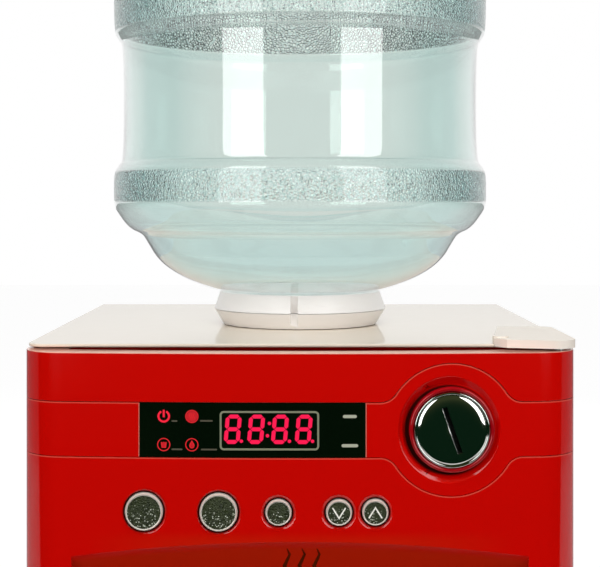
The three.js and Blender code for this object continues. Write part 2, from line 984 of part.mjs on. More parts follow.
// A key lock whose cam turns behind the front frame
function doorLock() {
  const { z, faceRadius, faceSheet, barrelRadius, frontY, camY, camSheet } = lock;
  const x = lockX;
  const body = turnedY([
    [0, frontY],
    [faceRadius * lock.faceShare, frontY],
    [faceRadius, frontY + faceSheet / 3],
    [faceRadius, frontY + faceSheet],
    [barrelRadius, frontY + faceSheet],
    [barrelRadius, camY + camSheet],
    [0, camY + camSheet],
  ], 14, x, z);
  const cam = box(
    [x - lock.camHalfWidth, x + lock.camHalfWidth],
    [camY, camY + camSheet],
    [z - lock.camLength, z],
  );
  const key = box(
    [x - lock.keyWidth / 2, x + lock.keyWidth / 2],
    [frontY - overrun, frontY + faceSheet],
    [z - lock.keyHeight / 2, z + lock.keyHeight / 2],
  );
  return piece("door_lock", body.add(cam).subtract(key), "chrome");
}

function feet() {
  const spots = [
    ["foot_front_left", -1, cabinet.frontY + foot.frontInset],
    ["foot_front_right", 1, cabinet.frontY + foot.frontInset],
    ["foot_rear_left", -1, cabinet.rearY - foot.rearInset],
    ["foot_rear_right", 1, cabinet.rearY - foot.rearInset],
  ];
  return spots.map(([name, side, y]) => {
    const height = cabinet.footHeight;
    const rubber = turned([
      [0, 0],
      [foot.baseRadius, 0],
      [foot.topRadius, height],
      [0, height],
    ], 12);
    const mesh = piece(name, rubber, "rubber");
    mesh.position.set(side * (halfWidth - foot.insetX), y, 0);
    return mesh;
  });
}

function basePan() {
  const side = halfWidth - sheet - gap;
  const outer = box([-side, side], [cabinet.frontY + gap, cabinet.rearY - gap], [panBottom, panTop]);
  const inner = box(
    [-side + sheet, side - sheet],
    [cabinet.frontY + gap + sheet, cabinet.rearY - gap - sheet],
    [panFloor, panTop + overrun],
  );
  return piece("base_pan", outer.subtract(inner), "steel");
}

// The side panels, each with a column of air slots
function sidePanels() {
  const made = (name, lowX, highX) => {
    const plate = box([lowX, highX], [cabinet.frontY + gap, cabinet.rearY - gap], [panBottom, panelTop]);
    const slots = [];
    for (let at = 0; at < cabinet.slotCount; at += 1) {
      const lowZ = cabinet.slotLowZ + at * cabinet.slotPitch;
      const long = [cabinet.slotY - cabinet.slotLength / 2, cabinet.slotY + cabinet.slotLength / 2];
      slots.push(box([lowX - overrun, highX + overrun], long, [lowZ, lowZ + cabinet.slotHeight]));
    }
    return piece(name, cut(plate, slots), "cream");
  };
  return [
    made("side_panel_left", -halfWidth, -halfWidth + sheet),
    made("side_panel_right", halfWidth - sheet, halfWidth),
  ];
}

// The rear panel with rows of pressed louvres, and holes for the mains inlet and the switch
function rearPanel() {
  const frontY = cabinet.rearY;
  const backY = frontY + sheet;
  const half = louvre.width / 2;
  const parts = [box([-halfWidth, halfWidth], [frontY, backY], [panBottom, panelTop])];
  const cutters = [];
  for (let at = 0; at < louvre.count; at += 1) {
    const lowZ = louvre.lowZ + at * louvre.pitch;
    const highZ = lowZ + louvre.height;
    const hood = polygon([
      [backY - sheet / 2, highZ],
      [frontY + louvre.rise, lowZ + sheet],
      [frontY + louvre.rise, lowZ],
      [backY - sheet / 2, lowZ],
    ]);
    parts.push(prismX(hood, [-half, half]));
    const mouth = polygon([
      [frontY - overrun, lowZ + louvre.slot],
      [frontY + sheet / 2, lowZ + louvre.slot],
      [frontY + louvre.rise - sheet / 2, lowZ + sheet / 2],
      [frontY + louvre.rise - sheet / 2, lowZ - sheet / 2],
      [backY + gap, lowZ - sheet / 2],
      [backY + gap, lowZ],
      [frontY - overrun, lowZ],
    ]);
    cutters.push(prismX(mouth, [-half + sheet, half - sheet]));
  }
  cutters.push(box(
    [inletX - inlet.width / 2 - gap, inletX + inlet.width / 2 + gap],
    [frontY - overrun, backY + overrun],
    [inlet.z - inlet.height / 2 - gap, inlet.z + inlet.height / 2 + gap],
  ));
  cutters.push(box(
    [rockerX - rocker.width / 2 - gap, rockerX + rocker.width / 2 + gap],
    [frontY - overrun, backY + overrun],
    [rocker.z - rocker.height / 2 - gap, rocker.z + rocker.height / 2 + gap],
  ));
  return piece("rear_panel", cut(joined(parts), cutters), "cream");
}

function topCover() {
  const plan = new THREE.Shape();
  const radius = cabinet.lidCornerRadius;
  const cornerFrontY = cabinet.lidFrontY + radius;
  const backY = cabinet.rearY + sheet;
  plan.absarc(-halfWidth + radius, cornerFrontY, radius, Math.PI, 1.5 * Math.PI);
  plan.absarc(halfWidth - radius, cornerFrontY, radius, 1.5 * Math.PI, 2 * Math.PI);
  plan.lineTo(halfWidth, backY);
  plan.lineTo(-halfWidth, backY);
  plan.closePath();
  const plate = prismZ(plan, [lidBottom, cabinet.lidTop], 5);
  const side = halfWidth - cabinet.lidLipInset;
  const ring = (inset, spill) => box(
    [-side + inset, side - inset],
    [cabinet.frontY + cabinet.lidLipInset + inset, cabinet.rearY - cabinet.lidLipInset - inset],
    [lidBottom - cabinet.lidLip - spill, lidBottom + cabinet.lidSheet / 2],
  );
  const lip = ring(0, 0).subtract(ring(sheet, overrun).intersect(
    box([-side, side], [cabinet.frontY, cabinet.rearY], [0, lidBottom]),
  ));
  const holeHeights = [lidBottom - overrun, cabinet.lidTop + overrun];
  const hole = rod(receiver.cupRadius + receiver.cupWall + gap, holeHeights, 20, 0, receiver.y);
  return piece("top_cover", plate.add(lip).subtract(hole), "cream");
}

// The frame behind the door: a window for the cup bay and one for the canisters
function frontFrame() {
  const side = halfWidth - sheet - gap;
  const lowZ = panTop + gap;
  const highZ = lidBottom - cabinet.lidLip - gap;
  const depths = [cabinet.frontY + gap, cabinet.frontY + gap + sheet];
  const plate = box([-side, side], depths, [lowZ, highZ]);
  const through = [depths[0] - overrun, depths[1] + overrun];
  const bayHalf = openingHalf + liner + gap;
  const bayHole = roundedRect(
    [-bayHalf, bayHalf],
    [bay.floorZ - liner - gap, bay.ceilingZ + liner + gap],
    bay.cornerRadius + liner,
  );
  const canisterHalf = canister.spacing + canister.width / 2 + liner;
  const canisterHeights = [canister.bottomZ, highZ - frame.rail];
  const canisterHole = roundedRect([-canisterHalf, canisterHalf], canisterHeights, frame.windowRadius);
  const lockSlot = roundedRect(
    [lockX - lock.slotHalfWidth, lockX + lock.slotHalfWidth],
    [lock.z - lock.camLength - liner, lock.z + lock.slotHalfWidth],
    lock.slotHalfWidth - gap,
  );
  return piece("front_frame", cut(plate, [
    prismY(bayHole, through, 3),
    prismY(canisterHole, through, 3),
    prismY(lockSlot, through, 3),
  ]), "cream");
}

function bayLiner() {
  const shell = (inset, deep) => {
    const half = openingHalf + inset;
    const heights = [bay.floorZ - inset, bay.ceilingZ + inset];
    const outline = roundedRect([-half, half], heights, bay.cornerRadius + inset);
    return prismY(outline, deep, 4);
  };
  const hollow = shell(0, [cabinet.frontY - overrun, bay.backY]);
  const whole = shell(liner, [cabinet.frontY + gap, bay.backY + liner]);
  const holeHeights = [bay.ceilingZ - overrun, bay.ceilingZ + liner + overrun];
  const hole = rod(nozzle.radius + gap, holeHeights, 16, 0, nozzleY);
  return piece("cup_bay_liner", cut(whole, [hollow, hole]), "cream");
}

// The shelf under the canisters, folded down at both ends, with slots for the powder spouts
function canisterShelf() {
  const side = halfWidth - sheet - gap;
  const depths = [cabinet.frontY + 2 * sheet + gap + cabinet.lidLip, shelf.backY];
  const highZ = shelf.z + shelf.sheet;
  const plate = box([-side, side], depths, [shelf.z, highZ]);
  const ends = [-side, side - shelf.sheet].map((lowX) => (
    box([lowX, lowX + shelf.sheet], depths, [shelf.z - shelf.flange, highZ])
  ));
  const front = box(
    [-side + cabinet.lidLip, side - cabinet.lidLip],
    [cabinet.frontY + gap + sheet + gap, depths[0] + overrun],
    [shelf.z, highZ],
  );
  const clear = canister.spoutRadius + liner;
  const slots = canisterPlaces().map(([, x]) => box(
    [x - clear, x + clear],
    [spoutY - clear, spoutY + clear],
    [shelf.z - overrun, highZ + overrun],
  ));
  return piece("canister_shelf", cut(joined([plate, front, ...ends]), slots), "steel");
}

function canisterPlaces() {
  return [["left", -canister.spacing], ["middle", 0], ["right", canister.spacing]];
}

function canisterOutline(inset, topZ) {
  const half = canister.width / 2 - inset;
  const trough = canister.troughRadius - inset;
  const troughZ = canister.bottomZ + canister.troughRadius;
  const shape = new THREE.Shape();
  shape.absarc(0, troughZ, trough, Math.PI, 2 * Math.PI);
  shape.lineTo(half, canister.shoulderZ);
  shape.lineTo(half, topZ);
  shape.lineTo(-half, topZ);
  shape.lineTo(-half, canister.shoulderZ);
  shape.closePath();
  return shape;
}

// A powder canister that narrows to a trough for its auger, with a spout at the front
function powderCanister(name) {
  const { wall, frontY, backY } = canister;
  const outer = prismY(canisterOutline(0, canister.topZ), [frontY, backY], 4);
  const inner = prismY(canisterOutline(wall, canister.topZ + overrun), [frontY + wall, backY - wall], 4);
  const low = canister.bottomZ - canister.spoutDrop;
  const spout = rod(canister.spoutRadius, [low, canister.bottomZ + wall], 8, 0, spoutY);
  const bore = rod(canister.spoutBore, [low - overrun, canister.bottomZ + wall + overrun], 8, 0, spoutY);
  const troughZ = canister.bottomZ + canister.troughRadius;
  const shaftHole = rodY(auger.coreRadius + gap, [backY - wall - overrun, backY + overrun], 8, 0, troughZ);
  return piece(name, cut(outer.add(spout), [inner, bore, shaftHole]), "clear");
}

function canisterLid(name) {
  const { lidSheet, lidOverhang, width, frontY, backY, topZ } = canister;
  const half = width / 2;
  const plan = [[-half - lidOverhang, half + lidOverhang], [frontY - lidOverhang, backY + lidOverhang]];
  const plate = box(...plan, [topZ + gap, topZ + gap + lidSheet]);
  const inner = half - canister.wall - gap;
  const plug = box(
    [-inner, inner],
    [frontY + canister.wall + gap, backY - canister.wall - gap],
    [topZ - 2 * lidSheet, topZ + gap + lidSheet / 2],
  );
  return piece(name, plate.add(plug), "dark");
}

// A helical flight round a core, built turn by turn as one closed ribbon
function helicalFlight(startY, endY) {
  const count = auger.turns * auger.steps;
  const corners = [];
  for (let step = 0; step <= count; step += 1) {
    const turn = (2 * Math.PI * step) / auger.steps;
    const y = startY + ((endY - startY - auger.flightSheet) * step) / count;
    const radii = [auger.coreRadius / 2, auger.flightRadius];
    for (const [radius, lift] of [[radii[0], 0], [radii[1], 0], [radii[1], 1], [radii[0], 1]]) {
      corners.push(radius * Math.cos(turn), y + lift * auger.flightSheet, radius * Math.sin(turn));
    }
  }
  const faces = [0, 2, 1, 0, 3, 2];
  for (let step = 0; step < count; step += 1) {
    for (let side = 0; side < 4; side += 1) {
      const here = 4 * step + side;
      const next = 4 * step + ((side + 1) % 4);
      faces.push(here, next, here + 4, next, next + 4, here + 4);
    }
  }
  const last = 4 * count;
  faces.push(last, last + 1, last + 2, last, last + 2, last + 3);
  const geometry = new THREE.BufferGeometry();
  geometry.setAttribute("position", new THREE.Float32BufferAttribute(corners, 3));
  geometry.setIndex(faces);
  return solid(geometry);
}

function powderAuger(name) {
  const frontY = canister.frontY + canister.wall + auger.endMargin / 2;
  const backY = canister.backY + auger.endMargin;
  const core = rodY(auger.coreRadius, [frontY, backY], 6);
  const flightBack = canister.backY - canister.wall - auger.endMargin / 2;
  const flight = helicalFlight(frontY + auger.endMargin / 2, flightBack);
  const mesh = piece(name, core.add(flight), "white");
  mesh.position.z = canister.bottomZ + canister.troughRadius;
  return mesh;
}

function augerMotorPiece(name) {
  const frontY = canister.backY + auger.endMargin + gap;
  const plateBack = frontY + augerMotor.plateSheet;
  const troughZ = canister.bottomZ + canister.troughRadius;
  const foot = troughZ - shelf.z - shelf.sheet - gap;
  const half = augerMotor.plateSize / 2;
  const plate = box([-half, half], [frontY, plateBack], [-foot, half]);
  const canDepths = [plateBack - augerMotor.plateSheet / 2, plateBack + augerMotor.length];
  const can = rodY(augerMotor.radius, canDepths, 16);
  const mesh = piece(name, plate.add(can), "steel");
  mesh.position.z = troughZ;
  return mesh;
}

function canisterSet([side, x]) {
  const group = new THREE.Group();
  group.add(
    powderCanister("powder_canister_" + side),
    canisterLid("canister_lid_" + side),
    powderAuger("auger_" + side),
    augerMotorPiece("auger_motor_" + side),
  );
  group.position.x = x;
  return group;
}

// The wide funnel that washes powder down to the nozzle
function mixingTrough() {
  const outline = (inset, spill) => polygon([
    [-trough.bottomHalfWidth + inset, trough.bottomZ + inset],
    [trough.bottomHalfWidth - inset, trough.bottomZ + inset],
    [trough.topHalfWidth - inset, trough.topZ + spill],
    [-trough.topHalfWidth + inset, trough.topZ + spill],
  ]);
  const { wall, frontY, backY } = trough;
  const outer = prismY(outline(0, 0), [frontY, backY]);
  const inner = prismY(outline(wall, overrun), [frontY + wall, backY - wall]);
  const low = trough.bottomZ - trough.spoutDrop;
  const spout = rod(trough.spoutRadius, [low, trough.bottomZ + wall / 2], 14, 0, nozzleY);
  const bore = rod(trough.spoutBore, [low - overrun, trough.bottomZ + wall + overrun], 14, 0, nozzleY);
  const holeDepths = [backY - wall - overrun, backY + overrun];
  const shaftHole = rodY(whipper.shaftRadius + gap, holeDepths, 12, 0, whipper.z);
  return piece("mixing_trough", cut(outer.add(spout), [inner, bore, shaftHole]), "dark");
}

function whipperImpeller() {
  const discY = nozzleY - whipper.discSheet;
  const endY = trough.backY + overrun;
  const parts = [
    rodY(whipper.shaftRadius, [discY, endY], 10, 0, whipper.z),
    rodY(whipper.discRadius, [discY, discY + whipper.discSheet], 12, 0, whipper.z),
  ];
  for (let at = 0; at < whipper.bladeCount; at += 1) {
    const reach = whipper.discRadius - whipper.bladeSheet;
    const blade = new THREE.BoxGeometry(whipper.bladeSheet, whipper.bladeLength, reach);
    blade.translate(0, discY - whipper.bladeLength / 2 + whipper.bladeSheet / 2, reach / 2);
    blade.rotateY((2 * Math.PI * at) / whipper.bladeCount);
    blade.translate(0, 0, whipper.z);
    parts.push(solid(blade));
  }
  return piece("whipper_impeller", joined(parts), "white");
}

function whipperMotor() {
  const frontY = trough.backY + overrun + gap;
  const backY = frontY + whipper.motorLength;
  const can = rodY(whipper.motorRadius, [frontY, backY], 18, 0, whipper.z);
  const half = whipper.motorRadius / 2;
  const bracket = box([-half, half], [frontY, frontY + augerMotor.plateSheet], [whipper.z, shelf.z - gap]);
  return piece("whipper_motor", can.add(bracket), "steel");
}

function dispensingNozzle() {
  const topZ = trough.bottomZ - trough.spoutDrop - gap;
  const { radius, tipRadius, bore, tipZ } = nozzle;
  const flangeZ = bay.ceilingZ + liner + gap;
  const body = turned([
    [bore, tipZ],
    [tipRadius, tipZ],
    [radius - gap, bay.ceilingZ - liner],
    [radius - gap, flangeZ],
    [radius + liner, flangeZ],
    [radius + liner, topZ],
    [bore, topZ],
  ], 14, 0, nozzleY);
  return piece("dispensing_nozzle", body, "dark");
}

function reservoirTank() {
  const topZ = lidBottom - gap;
  const lowZ = augerZ + augerMotor.plateSize / 2 + tank.motorGap;
  const { radius, wall, flange, flangeSheet } = tank;
  const body = turned([
    [0, lowZ],
    [radius - flange, lowZ],
    [radius, lowZ + flange],
    [radius, topZ - flangeSheet],
    [radius + flange, topZ - flangeSheet],
    [radius + flange, topZ],
    [radius - wall, topZ],
    [radius - wall, lowZ + flange + wall],
    [radius - wall - flange, lowZ + wall],
    [0, lowZ + wall],
  ], 20, 0, receiver.y);
  return piece("reservoir_tank", body, "white");
}

// The lower half of the receiver: a cup through the top cover, with the feed probe in its floor
function receiverLower() {
  const rise = (height) => cabinet.lidTop + height;
  const { footRadius, seamRadius, seamRise, cupRadius, cupWall, cupDepth, floorSheet } = receiver;
  const seamZ = rise(seamRise - gap / 2);
  const cupOuter = cupRadius + cupWall;
  const floorZ = rise(-cupDepth);
  const cup = turned([
    [0, floorZ - floorSheet],
    [cupOuter, floorZ - floorSheet],
    [cupOuter, rise(gap)],
    [footRadius, rise(gap)],
    [seamRadius, seamZ],
    [cupRadius, seamZ],
    [cupRadius, floorZ],
    [0, floorZ],
  ], 20, 0, receiver.y);
  const probe = turned([
    [0, floorZ - floorSheet / 2],
    [receiver.probeFlange, floorZ - floorSheet / 2],
    [receiver.probeFlange, floorZ + floorSheet / 2],
    [receiver.probeRadius, floorZ + floorSheet],
    [receiver.probeRadius, floorZ + receiver.probeHeight - floorSheet],
    [receiver.probeBore, floorZ + receiver.probeHeight],
    [0, floorZ + receiver.probeHeight],
  ], 12, 0, receiver.y);
  const drains = [];
  for (let at = 0; at < receiver.drainCount; at += 1) {
    const turn = (2 * Math.PI * (at + 1 / 2)) / receiver.drainCount;
    const x = receiver.drainCircle * Math.cos(turn);
    const y = receiver.y + receiver.drainCircle * Math.sin(turn);
    drains.push(rod(receiver.drainRadius, [floorZ - floorSheet - overrun, floorZ + overrun], 8, x, y));
  }
  const slit = receiverSlit(receiver.slitDepth / 2, [cabinet.lidTop, seamZ + overrun]);
  return piece("receiver_lower", cut(cup.add(probe), [...drains, slit]), "white");
}

function receiverSlit(depth, heights) {
  const frontY = receiver.y - receiver.seamRadius;
  const half = receiver.slitWidth / 2;
  const wide = [receiver.slitX - half, receiver.slitX + half];
  return box(wide, [frontY - overrun, frontY + depth + receiver.seamRadius - receiver.topRadius], heights);
}

function receiverUpper() {
  const { seamRadius, seamRise, topRadius, topRise, seatRadius, cupRadius } = receiver;
  const seamZ = cabinet.lidTop + seamRise + gap / 2;
  const topZ = cabinet.lidTop + topRise;
  const ring = turned([
    [cupRadius, seamZ],
    [seamRadius, seamZ],
    [topRadius, topZ],
    [seatRadius, topZ],
    [cupRadius, seamZ + gap],
  ], 20, 0, receiver.y);
  const slit = receiverSlit(receiver.slitDepth, [seamZ - overrun, topZ + overrun]);
  return piece("receiver_upper", ring.subtract(slit), "white");
}

// The bottle's shoulder, ribs and base: shares of its radius past the neck, and of its height over the seat
const shoulderShares = [
  [0.36, 0.007],
  [0.7, 0.05],
  [0.783, 0.084],
  [0.81, 0.094],
  [0.9, 0.103],
  [0.985, 0.1315],
];
const ringShares = [[0.148, 0.192], [0.421, 0.54], [0.775, 0.943]];
const recessShares = [[0.215, 0.398], [0.567, 0.748]];
const baseShares = [[0.955, 0.975], [0.87, 0.994], [0.76, 1], [0.68, 0.99]];

// The bottle's outside, from its neck up to its upturned base
function bottleProfile() {
  const { bodyRadius, recessRadius, neckRadius, neckBottomRise, neckRise } = bottle;
  const seatZ = cabinet.lidTop + bottle.seatRise;
  const up = (share) => seatZ + (bottle.height - bottle.seatRise) * share;
  const ring = ([lowShare, highShare]) => [
    [bodyRadius - bottle.ringEdge, up(lowShare) - bottle.ringEdgeRise],
    [bodyRadius, up(lowShare)],
    [bodyRadius, up(highShare)],
    [bodyRadius - bottle.ringEdge, up(highShare) + bottle.ringEdgeRise],
  ];
  const recess = ([lowShare, highShare]) => [[recessRadius, up(lowShare)], [recessRadius, up(highShare)]];
  return [
    [neckRadius, cabinet.lidTop + neckBottomRise],
    [neckRadius, cabinet.lidTop + neckRise],
    [receiver.seatRadius, seatZ],
    ...shoulderShares.map(([outShare, upShare]) => [
      neckRadius + (bodyRadius - neckRadius) * outShare,
      up(upShare),
    ]),
    ...ring(ringShares[0]),
    ...recess(recessShares[0]),
    ...ring(ringShares[1]),
    ...recess(recessShares[1]),
    ...ring(ringShares[2]),
    ...baseShares.map(([outShare, upShare]) => [bodyRadius * outShare, up(upShare)]),
  ];
}

function waterBottle() {
  const outside = bottleProfile();
  const last = outside[outside.length - 1];
  const crownZ = last[1];
  const walled = outside.map(([radius, z], at) => {
    const before = outside[Math.max(at - 1, 0)];
    const after = outside[Math.min(at + 1, outside.length - 1)];
    const along = new THREE.Vector2(after[0] - before[0], after[1] - before[1]).normalize();
    return [radius - along.y * bottle.wall, z + along.x * bottle.wall];
  });
  const inside = walled.filter((point, at) => outside[at][0] !== bottle.bodyRadius - bottle.ringEdge);
  inside[0][1] = outside[0][1];
  inside[inside.length - 1] = [last[0], crownZ - bottle.wall];
  const profile = [...outside, [0, crownZ], [0, crownZ - bottle.wall], ...inside.reverse()];
  return piece("water_bottle", turned(profile, 20, 0, bottle.y), "clear");
}

function bottleCap() {
  const mouthZ = cabinet.lidTop + bottle.neckBottomRise;
  const inner = bottle.neckRadius + gap;
  const outer = inner + cap.wall;
  const endZ = mouthZ - gap;
  const profile = [
    [cap.hole, endZ - cap.end],
    [outer - cap.wall / 2, endZ - cap.end],
    [outer, endZ - cap.end / 2],
    [outer, mouthZ + cap.skirt],
    [inner, mouthZ + cap.skirt],
    [inner, endZ],
    [cap.hole, endZ],
  ];
  return piece("bottle_cap", turned(profile, 20, 0, bottle.y), "blue");
}

function dripTray() {
  const { height, frontY, backY, wall, cornerRadius } = tray;
  const half = trayHalf;
  const lowZ = bay.floorZ + gap;
  const topZ = lowZ + height;
  const outer = prismZ(roundedRect([-half, half], [frontY, backY], cornerRadius), [lowZ, topZ], 2);
  const inner = prismZ(
    roundedRect([-half + wall, half - wall], [frontY + wall, backY - wall], cornerRadius - wall),
    [lowZ + wall, topZ + overrun],
    2,
  );
  const ledgeZ = topZ - tray.grilleRecess - tray.grilleSheet - gap;
  const ledgePlan = roundedRect([-half + gap, half - gap], [frontY + gap, backY - gap], cornerRadius);
  const ledge = prismZ(ledgePlan, [lowZ, ledgeZ], 2);
  const within = 2 * wall;
  const ledgeInner = prismZ(
    roundedRect([-half + within, half - within], [frontY + within, backY - within], cornerRadius - wall),
    [lowZ - overrun, topZ],
    2,
  );
  const stepSpace = box([-half, half], [frontY, backY], [ledgeZ - wall, ledgeZ]);
  const step = ledge.subtract(ledgeInner).intersect(stepSpace);
  return piece("drip_tray", outer.subtract(inner).add(step), "dark");
}

function dripGrille() {
  const half = trayHalf - tray.wall - gap;
  const plan = [tray.frontY + tray.wall + gap, tray.backY - tray.wall - gap];
  const highZ = bay.floorZ + gap + tray.height - tray.grilleRecess;
  const lowZ = highZ - tray.grilleSheet;
  const corner = tray.cornerRadius - tray.wall - gap;
  const plate = prismZ(roundedRect([-half, half], plan, corner), [lowZ, highZ], 2);
  const cutters = [];
  for (let at = 0; at < tray.slotCount; at += 1) {
    const x = (at - (tray.slotCount - 1) / 2) * tray.slotPitch;
    cutters.push(box(
      [x - tray.slotWidth / 2, x + tray.slotWidth / 2],
      [plan[0] + tray.slotMargin, plan[1] - tray.slotMargin],
      [lowZ - overrun, highZ + overrun],
    ));
  }
  return piece("drip_grille", cut(plate, cutters), "steel");
}

// The plain cover over the upper hinge, with a low round screw boss at its left end
function hingeCoverPiece() {
  const lowX = halfWidth - hingeCover.width;
  const topZ = cabinet.lidTop + hingeCover.rise;
  const plan = (inset) => {
    const radius = hingeCover.cornerRadius - inset;
    const shape = new THREE.Shape();
    const frontY = hingeCover.frontY + inset;
    const side = halfWidth - inset;
    shape.absarc(side - radius, frontY + radius, radius, 1.5 * Math.PI, 2 * Math.PI);
    shape.absarc(side - radius / 2, hingeCover.backY - inset - radius / 2, radius / 2, 0, Math.PI / 2);
    shape.lineTo(lowX + inset + radius, hingeCover.backY - inset);
    shape.lineTo(lowX + inset, cabinet.lidFrontY + inset);
    shape.lineTo(lowX + inset + radius / 2, frontY + radius / 2);
    shape.closePath();
    return shape;
  };
  const seatZ = cabinet.lidTop + gap;
  const outer = prismZ(plan(0), [cabinet.lidTop - hingeCover.skirt, topZ], 4);
  const innerHeights = [cabinet.lidTop - hingeCover.skirt - overrun, topZ - hingeCover.wall];
  const inner = prismZ(plan(hingeCover.wall), innerHeights, 4);
  const overLid = box(
    [0, cabinet.width],
    [cabinet.lidFrontY - gap, cabinet.rearY],
    [lidBottom - overrun, seatZ],
  );
  const boss = rod(hingeCover.bossRadius, [seatZ, topZ + hingeCover.bossHeight], 16,
    lowX + hingeCover.bossRadius, cabinet.lidFrontY + hingeCover.bossRadius + hingeCover.wall);
  return piece("hinge_cover", cut(outer, [inner, overLid]).add(boss), "cream");
}

// A hinge leaf screwed to the cabinet, reaching over the door, with its pin pointing into the door
function hingeBracketUpper() {
  const lowZ = cabinet.lidTop + gap;
  const highZ = lowZ + hinge.plate;
  const half = hinge.plateWidth / 2;
  const wide = [hingeX - half, hingeX + half];
  const plate = roundedRect(wide, [hinge.y - half, hinge.y + hinge.plateReach], half - gap);
  const leaf = prismZ(plate, [lowZ, highZ], 4);
  const pinHeights = [door.topZ - hinge.pinLength, highZ - hinge.plate / 2];
  const pin = rod(hinge.pinRadius, pinHeights, 12, hingeX, hinge.y);
  return piece("hinge_bracket_upper", leaf.add(pin), "steel");
}

function hingeBracketLower() {
  const highZ = door.bottomZ - gap;
  const lowZ = highZ - hinge.plate;
  const half = hinge.plateWidth / 2;
  const reachY = cabinet.frontY;
  const plate = roundedRect([hingeX - half, hingeX + half], [hinge.y - half, reachY + half], half - gap);
  const leaf = prismZ(plate, [lowZ, highZ], 4).subtract(
    box([0, cabinet.width], [reachY, 0], [0, door.bottomZ]),
  );
  const lugX = [hingeX - half - hinge.plateReach / 2, hingeX + half];
  const lug = box(lugX, [reachY - hinge.plate, reachY], [panBottom, highZ]);
  const pinHeights = [lowZ + hinge.plate / 2, door.bottomZ + hinge.pinLength];
  const pin = rod(hinge.pinRadius, pinHeights, 12, hingeX, hinge.y);
  return piece("hinge_bracket_lower", joined([leaf, lug, pin]), "steel");
}

const boilerShares = [[0.8, 0.65], [0.4, 1]];

function boilerTank() {
  const { y, radius, skirtHeight, height, domeRise, fittingRadius } = boiler;
  const x = boilerX;
  const lowZ = panFloor + gap;
  const topZ = lowZ + height;
  const body = turned([
    [0, lowZ],
    [radius * boiler.skirtShare, lowZ],
    [radius * boiler.skirtShare, lowZ + skirtHeight],
    [radius, lowZ + skirtHeight],
    [radius, topZ - domeRise],
    ...boilerShares.map(([outward, up]) => [radius * outward, topZ - domeRise * (1 - up)]),
    [0, topZ],
  ], 20, x, y);
  const fitting = rod(fittingRadius, [topZ - domeRise, topZ + domeRise], 12, x, y);
  return piece("boiler_tank", body.add(fitting), "steel");
}

function waterPump() {
  const { x, y, radius, length, footWidth, footDepth, footSheet, lift } = pump;
  const lowZ = panFloor + gap;
  const axisZ = lowZ + lift;
  const body = rodY(radius, [y - length / 2, y + length / 2], 20, x, axisZ);
  const deep = [y - footDepth / 2, y + footDepth / 2];
  const base = box([x - footWidth / 2, x + footWidth / 2], deep, [lowZ, lowZ + footSheet]);
  const web = box([x - footSheet, x + footSheet], deep, [lowZ, axisZ]);
  return piece("water_pump", joined([body, base, web]), "dark");
}

function powerSupply() {
  const { y, width, depth, height, finCount, finHeight, finWidth } = supply;
  const x = supplyX;
  const lowZ = panFloor + gap;
  const deep = [y - depth / 2, y + depth / 2];
  const parts = [box([x - width / 2, x + width / 2], deep, [lowZ, lowZ + height])];
  for (let at = 0; at < finCount; at += 1) {
    const lowX = x - width / 2 + (at * (width - finWidth)) / (finCount - 1);
    const tall = [lowZ + height - finWidth, lowZ + height + finHeight];
    parts.push(box([lowX, lowX + finWidth], deep, tall));
  }
  return piece("power_supply", joined(parts), "steel");
}

// The mains inlet in the rear panel: a socket for a plug-in lead
function powerInlet() {
  const { z, width, height, depth, flange, flangeSheet } = inlet;
  const x = inletX;
  const faceY = cabinet.rearY + sheet + gap;
  const wide = (grow) => [x - width / 2 - grow, x + width / 2 + grow];
  const tall = (grow) => [z - height / 2 - grow, z + height / 2 + grow];
  const body = box(wide(0), [faceY - depth, faceY + flangeSheet / 2], tall(0));
  const rimPlan = roundedRect(wide(flange), tall(flange), flange / 2);
  const rim = prismY(rimPlan, [faceY, faceY + flangeSheet - gap], 2);
  const socket = box(wide(-flange), [faceY - depth + flange, faceY + overrun], tall(-flange));
  return piece("power_inlet", body.add(rim).subtract(socket), "dark");
}

// A rocker that tips about its middle in a hole of the rear panel
function powerSwitch() {
  const { z, width, height, depth, bow } = rocker;
  const faceY = cabinet.rearY + sheet;
  const side = polygon([
    [faceY - depth, -height / 4],
    [faceY - bow, -height / 2 + bow],
    [faceY, -height / 2 + bow],
    [faceY - bow / 2, 0],
    [faceY, height / 2 - bow],
    [faceY - bow, height / 2 - bow],
    [faceY - depth, height / 4],
  ]);
  const mesh = piece("power_switch", prismX(side, [-width / 2, width / 2]), "dark");
  mesh.position.set(rockerX, 0, z);
  return mesh;
}

function doorGroup() {
  const group = new THREE.Group();
  group.add(
    ...doorFascias(),
    doorBackPlate(),
    displayWindow(),
    digitDisplay(),
    panelBoard(),
    coinEntry(),
    coinMechanism(),
    coinChute(),
    coinBoxPiece(),
    doorLock(),
    ...buttonRow.map(pushButton),
  );
  return group;
}

function cabinetGroup() {
  const group = new THREE.Group();
  group.add(
    basePan(),
    ...feet(),
    ...sidePanels(),
    rearPanel(),
    frontFrame(),
    topCover(),
    bayLiner(),
    canisterShelf(),
    ...canisterPlaces().map(canisterSet),
    mixingTrough(),
    whipperImpeller(),
    whipperMotor(),
    dispensingNozzle(),
    reservoirTank(),
    receiverLower(),
    receiverUpper(),
    boilerTank(),
    waterPump(),
    powerSupply(),
    hingeCoverPiece(),
    hingeBracketUpper(),
    hingeBracketLower(),
    powerInlet(),
    powerSwitch(),
  );
  return group;
}

const trayGroup = new THREE.Group();
trayGroup.add(dripTray(), dripGrille());

const bottleGroup = new THREE.Group();
bottleGroup.add(waterBottle(), bottleCap());

const machine = new THREE.Group();
machine.add(cabinetGroup(), doorGroup(), trayGroup, bottleGroup);

export default machine;
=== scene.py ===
import json
import math

